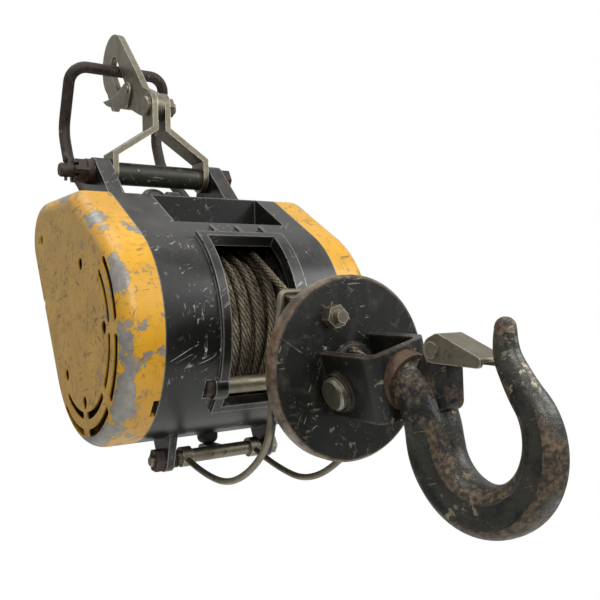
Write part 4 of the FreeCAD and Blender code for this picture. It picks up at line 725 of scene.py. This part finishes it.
# Stations down the hook are y, z and section radius, in mm in the hook's own frame with its shank along +Y.
bow_y, bow_z, bow_r = -63.0, -7.5, 36.0
bow_from, bow_low, bow_to = 208, 270, 420      # degrees round the bow: its start, its foot and its nose
line = [(-5.05, 0.0, 14.6), (-12.0, -2.0, 15.0), (-19.6, -8.0, 15.3), (-26.1, -16.0, 15.5)]
for i in range(16):
    deg = bow_from + (bow_to - bow_from) * i / 15
    thick = 15.5 - (deg - bow_from) / (bow_low - bow_from)
    if deg >= bow_low:
        thick = 14.5 - 6.0 * (deg - bow_low) / (bow_to - bow_low)
    turn = math.radians(deg)
    line.append((bow_y - bow_r * math.cos(turn), bow_z + bow_r * math.sin(turn), thick))
line += [(-73.8, 29.6, 7.8), (-66.5, 36.7, 7.0), (-62.9, 43.8, 6.2), (-61.0, 50.7, 5.5)]
rings = [(17.4, 0.0, 0.0), (17.4, 0.0, 8.2), (16.6, 0.0, 9.0), (-4.9, 0.0, 9.0), (-5.05, 0.0, 13.6)]
bow_count = 180
bow_start, bow_end = len(rings), len(rings) + bow_count
rings += [through(line, i / bow_count) for i in range(bow_count + 1)]
rings += [(-60.75, 52.7, 5.1), (-60.6, 54.2, 4.2), (-60.5, 55.3, 3.0), (-60.45, 55.9, 1.7),
          (-60.4, 56.1, 0.0)]
last = len(rings) - 1

bpy.ops.mesh.primitive_circle_add(vertices=56, radius=0.01, rotation=(0, math.pi / 2, 0))
hook = bpy.context.object
hook.name = "forged_load_hook"
bpy.ops.object.transform_apply(location=False, rotation=True, scale=False)
modified(hook, "SCREW", axis="X", angle=0.0, screw_offset=float(last), steps=last, render_steps=last)
panel = hook.data.attributes.new("panel", "FLOAT", "POINT")
rim = hook.data.attributes.new("rim", "FLOAT", "POINT")
for vertex in hook.data.vertices:
    i = round(vertex.co.x)                     # which ring it is on
    y, z, radius = rings[i]
    (y0, z0, _), (y1, z1, _) = rings[max(i - 1, 0)], rings[min(i + 1, last)]
    way = Vector((-1.0, 0.0))                  # down the shank, along the bow, then out of the nose
    if bow_start < i < bow_end:
        way = Vector((y1 - y0, z1 - z0)).normalized()
    elif i >= bow_end:
        way = Vector((0.1, 1.0)).normalized()
    around = math.atan2(vertex.co.z, vertex.co.y)
    out, side = math.cos(around), math.sin(around)
    share = (i - bow_start) / bow_count
    depth = step(share, 0.10, 0.20) * (1 - step(share, 0.72, 0.86))
    if out < 0:                                # the bow's inner side is nearly flat
        out = -abs(out) ** (1 - 0.35 * depth)
        side = math.copysign(abs(side) ** (1 - 0.2 * depth), side)
    off_middle = abs(out + 0.06)
    sunk = depth * (1 - step(off_middle, 0.38, 0.55))
    panel.data[vertex.index].value = sunk
    rim.data[vertex.index].value = depth * math.exp(-((off_middle - 0.66) / 0.16) ** 2)
    half = side * radius * (1 - 0.16 * sunk - 0.05 * depth)
    vertex.co = (half, y + way.y * out * radius, z - way.x * out * radius)
outward(weld=0.01)
lug_rim = wrapped([(-24.0, 27.0, 7.0), (-15.0, 4.0, 6.0), (-33.0, 2.0, 6.0)])
lug = cut_sheet("gate_lug", lug_rim, -6.0, 6.0, lambda x, y, z: Vector((x, y, z)))
joined(hook, lug, "UNION")
hook_at, hook_tilt = (0.015, -0.318, -0.158), Matrix.Rotation(math.radians(15.8), 4, "X")
hook.matrix_world = Matrix.Translation(hook_at) @ hook_tilt @ Matrix.Scale(0.001, 4)
bpy.ops.object.transform_apply(location=True, rotation=True, scale=True)
bpy.ops.object.shade_smooth_by_angle(angle=math.radians(38))

# Forged steel: black paint flaking in the panels, brown rust on the rims, pale bare chips, a dented skin.
forged, tree = new_finish("drop_forged_steel_painted_and_rusted")
sunk = put(tree, "Attribute", out="Fac", attribute_name="panel")
paint = mixed(tree, patches(tree, 20.0, 0.45, 0.57, 1.0, 10.0), "#0f0f0d", "#302f27")
rust = mixed(tree, patches(tree, 3.0, 0.42, 0.66, 3.0, 10.0), "#2c241b", "#6c5a44")
kept = calc(tree, "MULTIPLY_ADD", sunk, 0.10, cloud(tree, 13, 4.0, 12.0, 0.72))
rubbed = put(tree, "Attribute", out="Fac", attribute_name="rim")
kept = calc(tree, "MULTIPLY_ADD", rubbed, -0.15, kept)
kept = ramp(tree, kept, 0.455, 0.495)
tone = mixed(tree, kept, rust, paint)
chips = patches(tree, 5.0, 0.555, 0.585, 5.0, 12.0)
chips = calc(tree, "MULTIPLY", chips, patches(tree, 38.0, 0.52, 0.58, 6.0, 5.0))
chips = crossed(tree, chips, 0.018, [(5.0, (70, 0, 0), 7.0)])
tone = mixed(tree, chips, tone, "#877e69")
skin = calc(tree, "ADD", patches(tree, 9.0, 0.2, 0.8, 9.0, 2.0), patches(tree, 2.2, 0.2, 0.8, 12.0, 3.0))
skin = calc(tree, "MULTIPLY_ADD", kept, 0.5, skin)
rough = ramp(tree, kept, to=(0.52, 0.32))
surface(tree, tone, rough, calc(tree, "MULTIPLY_ADD", chips, 0.4, 0.25), skin, 0.3)
hook.data.materials.append(forged)
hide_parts("load_hook")
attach(hook, "hook")


# Studio: a plain pale floor a metre under the hanging winch, a soft dome that is brightest overhead,
# and three soft panels. The dome shows white behind the part.
bpy.ops.mesh.primitive_circle_add(vertices=96, radius=1.5, fill_type="NGON", location=(0.0, -0.15, -1.0))
floor = bpy.context.object
floor.name = "studio_floor"
pale, tree = new_finish("pale_matt_floor")
tone = mixed(tree, patches(tree, 900.0, 0.3, 0.7, 1.0), "#e9e9e6", "#eeeeec")
surface(tree, tone, 0.9, 0.0, patches(tree, 8.0, 0.3, 0.7, 2.0), 0.02, IOR=1.45)
floor.data.materials.append(pale)

surround = bpy.data.worlds.new("studio_dome")
bpy.context.scene.world = surround
surround.use_nodes = True
tree = surround.node_tree
tree.nodes.clear()
height = put(tree, "SeparateXYZ", {0: put(tree, "TexCoord", out="Generated")}, out="Z")
glow = ramp(tree, height, -0.6, 0.8, to=(0.12, 0.85))
glow = calc(tree, "MAXIMUM", glow, put(tree, "LightPath", out="Is Camera Ray"))
dome = put(tree, "Background", {"Color": linear("#ffffff"), "Strength": glow})
put(tree, "OutputWorld", {"Surface": dome})
for name, power, size, spot, aim in (
        ("key_panel", 11.0, 0.7, (-0.15, -1.35, 0.75), (0.0, -0.15, -0.08)),
        ("right_panel", 9.0, 0.8, (1.0, -0.85, 0.6), (0.05, -0.15, -0.08)),
        ("top_panel", 8.0, 1.0, (-0.3, 0.1, 1.2), (0.0, -0.1, -0.05))):
    lamp = bpy.data.lights.new(name, "AREA")
    lamp.energy = power
    lamp.size = size
    panel = bpy.data.objects.new(name, lamp)
    bpy.context.scene.collection.objects.link(panel)
    panel.location = spot
    way = [b - a for a, b in zip(spot, aim)]
    panel.rotation_euler = (math.atan2(math.hypot(way[0], way[1]), -way[2]), 0.0, math.atan2(-way[0], way[1]))
bpy.context.scene.view_settings.view_transform = "Standard"


# Camera: below the roof and left of the hook, where the photograph was taken.
# Its lens and place are those fitted to the photograph, rolled a little as it was held.
lens = bpy.data.cameras.new("camera")
lens.lens = 45.0
lens.sensor_width = 36.0
camera = bpy.data.objects.new("camera", lens)
bpy.context.scene.collection.objects.link(camera)
camera_at = (-0.2691, -0.6405, -0.1062)
right = Vector((0.8350, -0.5500, -0.0180)).normalized()
rolled_up = Vector((0.022, 0.0, 1.0))
back = right.cross(rolled_up).normalized()
turn = Matrix((right, back.cross(right), back)).transposed().to_4x4()
camera.matrix_world = Matrix.Translation(camera_at) @ turn
bpy.context.scene.camera = camera
